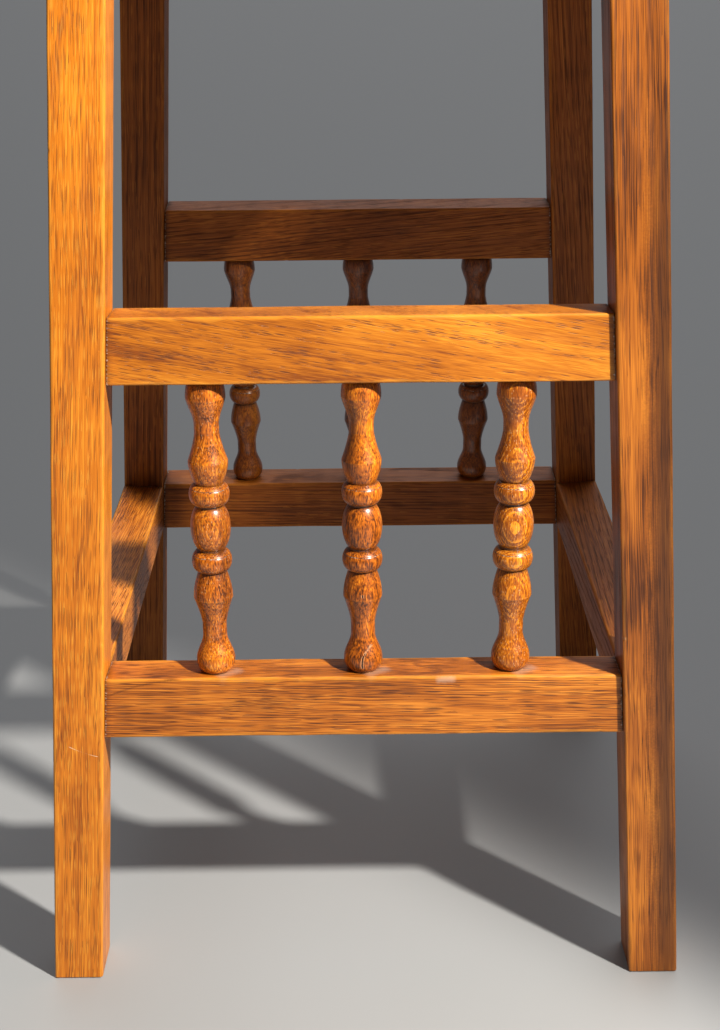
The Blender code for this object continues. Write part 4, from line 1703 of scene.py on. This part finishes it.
@dataclass
class CornerFixing:
    """A glued corner block under the top, and the slotted screw that goes up through it."""

    end: End
    side: Side
    shank: float = 0.004
    head: float = 0.008
    head_height: float = 0.0024
    bite: float = 0.011
    tip: float = 0.003
    slot_width: float = 0.0010
    slot_depth: float = 0.0009
    ease: float = 0.0007
    around: int = 32

    TURN_BY_SIDE = 0.9
    TURN_BY_END = 0.4
    HOLE_START = -0.001

    @property
    def label(self) -> str:
        """The words that the names of its pieces end with."""
        return f"{self.end.label}_{self.side.label}"

    def apron_corner(self, height: float) -> Vector:
        """Where the inner faces of the two aprons would meet at this height."""
        inner_x = SIZES.leg_width / 2 - SIZES.apron_setback - SIZES.apron_thickness - SIZES.gap
        inner_y = SIZES.leg_depth / 2 - SIZES.apron_setback - SIZES.apron_thickness - SIZES.gap
        across, along = SIZES.reach_x(height, inner_x), SIZES.reach_y(height, inner_y)
        return Vector((self.side.value * across, self.end.value * along, height))

    @property
    def near(self) -> float:
        """How far from the apron corner the block starts, past the leg's inner corner."""
        past = SIZES.leg_width + SIZES.leg_depth - 2 * (SIZES.apron_setback + SIZES.apron_thickness)
        return past + SIZES.block_clearance

    @property
    def screw_foot(self) -> Vector:
        """The middle of the screw's head, level with the block's underside."""
        middle = self.near / 2 + SIZES.block_face / 4
        spot = self.apron_corner(SIZES.frame_top - SIZES.block_height)
        return spot + Vector((-self.side.value * middle, -self.end.value * middle, 0))

    def screw_frame(self) -> Matrix:
        """The screw's frame, X up it."""
        turn = self.TURN_BY_SIDE * self.side.value + self.TURN_BY_END * self.end.value
        return frame_along(self.screw_foot, UP, ALONG_Y) @ Matrix.Rotation(turn, 4, "X")

    def outline(self, grown: float) -> list[tuple[float, float]]:
        """The screw's half outline from its head, or its hole's when grown."""
        length = SIZES.block_height + SIZES.gap + self.bite
        shank, head = self.shank / 2 + grown, self.head / 2 + grown
        outline = [(head, 0.0), (shank, self.head_height + grown)]
        outline += [(shank, length - self.tip), (shank / 2, length)]
        return [(head, self.HOLE_START), *outline] if grown else outline

    def block_mesh(self) -> bpy.types.Mesh:
        """The block, sawn to the aprons' lean, with its arrises eased and the screw's hole."""
        shape = bmesh.new()
        inward_x, inward_y = ALONG_X * -self.side.value, ALONG_Y * -self.end.value
        far = self.near + SIZES.block_face
        for height in (SIZES.frame_top - SIZES.block_height, SIZES.frame_top):
            corner = self.apron_corner(height)
            for step in (inward_x * self.near, inward_x * far, inward_y * far, inward_y * self.near):
                shape.verts.new(corner + step)
        corners = shape.verts[:]
        for loop in ((0, 1, 2, 3), (4, 5, 6, 7), (0, 1, 5, 4), (1, 2, 6, 5), (2, 3, 7, 6), (3, 0, 4, 7)):
            shape.faces.new([corners[place] for place in loop])
        bmesh.ops.recalc_face_normals(shape, faces=shape.faces)
        bmesh.ops.bevel(shape, geom=shape.edges[:], offset=self.ease, segments=2, profile=0.5, affect="EDGES")
        mesh = mesh_from(shape, f"corner_block_{self.label}")
        hole = spun_mesh("hole", self.outline(SIZES.gap), self.around)
        hole.transform(self.screw_frame())
        mesh = cut_away(mesh, hole)
        smooth(mesh, FIXING_CREASE)
        return mesh

    def screw_mesh(self) -> bpy.types.Mesh:
        """The screw with its driver slot."""
        mesh = spun_mesh(f"top_screw_{self.label}", self.outline(0.0), self.around)
        shape = bmesh.new()
        size = Matrix.Diagonal((2 * self.slot_depth, self.slot_width, 2 * self.head, 1.0))
        bmesh.ops.create_cube(shape, size=1.0, matrix=size)
        mesh = cut_away(mesh, mesh_from(shape, "slot"))
        smooth(mesh, FIXING_CREASE)
        return mesh

    def build(self, dresser: Dresser, steel: bpy.types.Material) -> list[Piece]:
        """Builds and dresses the block and its screw.

        Args:
            dresser: What gives the block its finish.
            steel: The screws' material.

        Returns:
            The two pieces.
        """
        along = Vector((self.side.value, -self.end.value, 0)).normalized()
        place = frame_along(self.screw_foot, along, UP)
        block = self.block_mesh()
        block.transform(place.inverted())
        screw = self.screw_mesh()
        return [
            dresser.dress(f"corner_block_{self.label}", block, place, Slot.PLAIN),
            Piece(f"top_screw_{self.label}", screw, self.screw_frame(), steel, Slot.STEEL),
        ]


# Photographic stage

@dataclass(frozen=True)
class PhotoCamera:
    """The camera of the photograph: where it stands and how it is turned."""

    place: Point = (-0.00383, -0.98293, 0.64454)
    yaw: float = -0.0032
    pitch: float = 0.3942
    roll: float = -0.0088
    lens: float = 54.60
    nearest: float = 0.01

    def set_up(self) -> None:
        """Makes the camera and gives it to the scene."""
        right = Vector((math.cos(self.yaw), math.sin(self.yaw), 0))
        level = math.cos(self.pitch)
        ahead = Vector((-math.sin(self.yaw) * level, math.cos(self.yaw) * level, -math.sin(self.pitch)))
        up = right.cross(ahead)
        turned_right = right * math.cos(self.roll) + up * math.sin(self.roll)
        turned_up = up * math.cos(self.roll) - right * math.sin(self.roll)
        turn = Matrix((turned_right, turned_up, -ahead)).transposed()
        data = bpy.data.cameras.new("photo_camera")
        data.lens = self.lens
        data.clip_start = self.nearest
        camera = put_in_scene("photo_camera", data)
        camera.matrix_world = Matrix.Translation(Vector(self.place)) @ turn.to_4x4()
        bpy.context.scene.camera = camera


def hang_lamp(data: bpy.types.Light, place: Point, direction: Vector) -> None:
    """Hangs a light in its place, shining this way."""
    lamp = put_in_scene(data.name, data)
    lamp.location = place
    lamp.rotation_mode = "QUATERNION"
    lamp.rotation_quaternion = direction.to_track_quat("-Z", "Y")


@dataclass(frozen=True)
class SoftSky:
    """Even light from a wide part of the sky."""

    name: str
    place: Point
    breadth: float
    power: float
    colour: Colour

    def hang(self) -> None:
        """Hangs the light, aimed at the floor's middle."""
        data = bpy.data.lights.new(self.name, "SUN")
        data.angle = self.breadth
        data.energy = self.power
        data.color = self.colour
        hang_lamp(data, self.place, -Vector(self.place))


@dataclass(frozen=True)
class ShutteredLamp:
    """A lamp with a shutter: it lights what lies left of an upright plane through the lamp and one place.

    The plane is the rim of a very wide spot, whose axis points far to the left. The light fades out towards
    the rim.
    """

    name: str
    place: Point
    shutter: Point
    radius: float
    power: float
    colour: Colour
    half_angle: float = math.radians(80)
    fade: float = 0.07

    def hang(self) -> None:
        """Hangs the lamp."""
        data = bpy.data.lights.new(self.name, "SPOT")
        data.shadow_soft_size = self.radius
        data.spot_size = 2 * self.half_angle
        data.spot_blend = self.fade
        data.energy = self.power
        data.color = self.colour
        rim = (Vector(self.shutter) - Vector(self.place)).normalized()
        leftward = UP.cross(rim).normalized()
        axis = rim * math.cos(self.half_angle) + leftward * math.sin(self.half_angle)
        hang_lamp(data, self.place, axis)


class Studio:
    """A plain pale floor under soft light."""

    FLOOR_RADIUS = 40.0
    FLOOR_SIDES = 96
    FLOOR_COLOUR: Colour = (0.30, 0.305, 0.31)
    FLOOR_ROUGHNESS = 0.55
    AIR_COLOUR: Colour = (0.98, 0.985, 1.0)
    AIR_STRENGTH = 0.085
    LAMPS = (
        ShutteredLamp(
            "key", place=(1.080, -1.007, 1.546), shutter=(0.2055, -0.1068, 0.35), radius=0.05, power=380.0,
            colour=(1.0, 0.95, 0.87),
        ),
        SoftSky(
            "back", place=(0.25, 1.6, 2.4), breadth=math.radians(60), power=1.25, colour=(0.97, 0.98, 1.0)
        ),
    )

    def set_up(self) -> None:
        """Lays the floor and hangs the lamps."""
        shape = bmesh.new()
        bmesh.ops.create_circle(shape, cap_ends=True, segments=self.FLOOR_SIDES, radius=self.FLOOR_RADIUS)
        mesh = mesh_from(shape, "floor")
        floor = put_in_scene("floor", mesh)
        material, bench, shader = new_material("pale_floor")
        bench.feed(shader.inputs["Base Color"], (*self.FLOOR_COLOUR, 1))
        bench.feed(shader.inputs["Roughness"], self.FLOOR_ROUGHNESS)
        mesh.materials.append(material)
        world = bpy.data.worlds.new("soft_air")
        world.use_nodes = True
        air = world.node_tree.nodes["Background"]
        air.inputs["Color"].default_value = (*self.AIR_COLOUR, 1)
        air.inputs["Strength"].default_value = self.AIR_STRENGTH
        bpy.context.scene.world = world
        bpy.context.scene.view_settings.view_transform = "Standard"
        for lamp in self.LAMPS:
            lamp.hang()


# Whole stand

def stand_finishes() -> dict[str, tuple[OakFinish, Sawing]]:
    """Each wooden node's finish and sawing. What the photograph doesn't show is made to go with the rest."""
    straight = (0, 0, 0)
    leg_front = -SIZES.leg_depth / 2
    front = -SIZES.rail_thickness / 2
    top = SIZES.rail_height / 2
    scratch = LineMark(
        MarkKind.SCRATCH, (0.1617, -0.0060, leg_front), (0.1556, 0.0126, leg_front), (-0.0008, 0, 0),
        width=0.0003,
    )
    # Painted shade: darkens the right front leg's face down its right side.
    shaded = LineMark(
        MarkKind.SMUDGE, (-0.10, 0.008, leg_front), (0.60, 0.012, leg_front), straight,
        width=0.014, strength=0.75,
    )
    lower_marks = (
        LineMark(
            MarkKind.SMUDGE, (-0.0850, front, 0.0017), (-0.0430, front, 0.0037), straight,
            width=0.0065, strength=0.30,
        ),
        LineMark(
            MarkKind.SMUDGE, (-0.1560, front, 0.0060), (-0.1040, front, 0.0190), (0, 0, 0.0030), width=0.0012
        ),
        LineMark(
            MarkKind.SMEAR, (0.0415, front, 0.0166), (0.0555, front, 0.0174), straight,
            width=0.0032, strength=0.32,
        ),
        *(
            LineMark(
                MarkKind.SMEAR, (foot, -0.0125, top), (foot + 0.0165, 0.0005, top), straight,
                width=0.0065, strength=0.22,
            )
            for foot in (-SIZES.spindle_pitch, 0.0, SIZES.spindle_pitch)
        ),
    )
    chosen = {
        "leg_front_left": (replace(HONEY, marks=(scratch,)), Sawing(1, radial=75, run_out=-1)),
        "leg_front_right": (replace(STREAKED_BROWN, marks=(shaded,)), Sawing(2, radial=8, pith=0.06)),
        "leg_rear_left": (BROWN_AND_PAINTED_SHADE, Sawing(3, radial=40)),
        "leg_rear_right": (BROWN_AND_PAINTED_SHADE, Sawing(4, radial=15, run_out=2)),
        "front_upper_rail": (RAIL_HONEY, Sawing(5, radial=-80, run_out=10)),
        "front_lower_rail": (replace(STRAIGHT_BROWN, marks=lower_marks), Sawing(6, radial=-88, run_out=1)),
        "rear_upper_rail": (BROWN_AND_PAINTED_SHADE, Sawing(7, radial=-70, run_out=-5)),
        "rear_lower_rail": (BROWN_AND_PAINTED_SHADE, Sawing(8, radial=-85, run_out=1)),
        "left_stretcher": (STRAIGHT_BROWN, Sawing(9, radial=-20, run_out=4)),
        "right_stretcher": (BROWN_AND_PAINTED_SHADE, Sawing(10, radial=-30, run_out=2)),
        "front_apron": (HONEY, Sawing(11, radial=-75, run_out=2)),
        "rear_apron": (HONEY, Sawing(12, radial=-60, run_out=-3)),
        "left_apron": (STRAIGHT_BROWN, Sawing(13, radial=-80, run_out=2)),
        "right_apron": (STRAIGHT_BROWN, Sawing(14, radial=-65, run_out=-2)),
        "top_board": (TOP_HONEY, Sawing(30, radial=-12, pith=0.07, run_out=1)),
    }
    crack = (
        LineMark(
            MarkKind.SPLIT, (-0.0865, -0.0004, -0.0106), (-0.0778, 0.0002, -0.0105), (0, -0.0006, -0.0009),
            width=0.0006,
        ),
        LineMark(
            MarkKind.SPLIT, (-0.0782, 0.0001, -0.0105), (-0.0722, 0.0053, -0.0062), (0, -0.0004, -0.0009),
            width=0.0005,
        ),
        LineMark(
            MarkKind.SPLIT, (-0.0412, -0.0002, -0.0114), (-0.0392, -0.0002, -0.0114), straight, width=0.0006
        ),
    )
    # Darkens the left front spindle down its right front side.
    shade = LineMark(
        MarkKind.SMUDGE, (-0.090, 0.0085, -0.0075), (0.085, 0.0085, -0.0075), straight,
        width=0.0090, strength=0.45,
    )
    patch = LineMark(
        MarkKind.SMUDGE, (0.030, -0.0080, -0.0080), (0.080, -0.0060, -0.0070), straight,
        width=0.0075, strength=0.65,
    )
    flecked = replace(TURNED, pore_share=1.0, pore_depth=0.8, ray_share=0.12, marks=(shade,))

    def turned(seed: int, radial: float) -> Sawing:
        """How a spindle's blank was sawn."""
        return Sawing(seed, pith=0.030, radial=radial, run_out=3)

    spindles = {
        "left": (flecked, turned(20, radial=70)),
        "center": (replace(TURNED, marks=(patch, *crack)), turned(21, radial=-95)),
        "right": (TURNED_EYE, turned(22, radial=90)),
    }
    for seed, label in enumerate(spindles, start=23):
        chosen[f"front_spindle_{label}"] = spindles[label]
        chosen[f"rear_spindle_{label}"] = (TURNED_IN_PAINTED_SHADE, turned(seed, radial=80))
    block_seed, block_radial = 40, 35
    for end in End:
        for side in Side:
            sawing = Sawing(block_seed + 2 * end.value + side.value, radial=block_radial * side.value)
            chosen[f"corner_block_{end.label}_{side.label}"] = (PLAIN, sawing)
    return chosen


def main() -> None:
    """Builds the stand's looks, the studio and the camera."""
    logging.basicConfig(level=logging.INFO, format="%(message)s")
    dresser = Dresser(OakGroups(), stand_finishes())
    steel = ScrewSteel().material()
    pieces: list[Piece] = []
    for end in End:
        pieces += Gallery(end).build(dresser)
    for side in Side:
        pieces += Flank(side).build(dresser)
    pieces.append(TopBoard().build(dresser))
    for end in End:
        pieces.append(FootPolish(end).build(dresser.groups))
        for side in Side:
            pieces += CornerFixing(end, side).build(dresser, steel)
    for piece in pieces:
        piece.set_down()
    Studio().set_up()
    PhotoCamera().set_up()


if __name__ == "__main__":
    main()
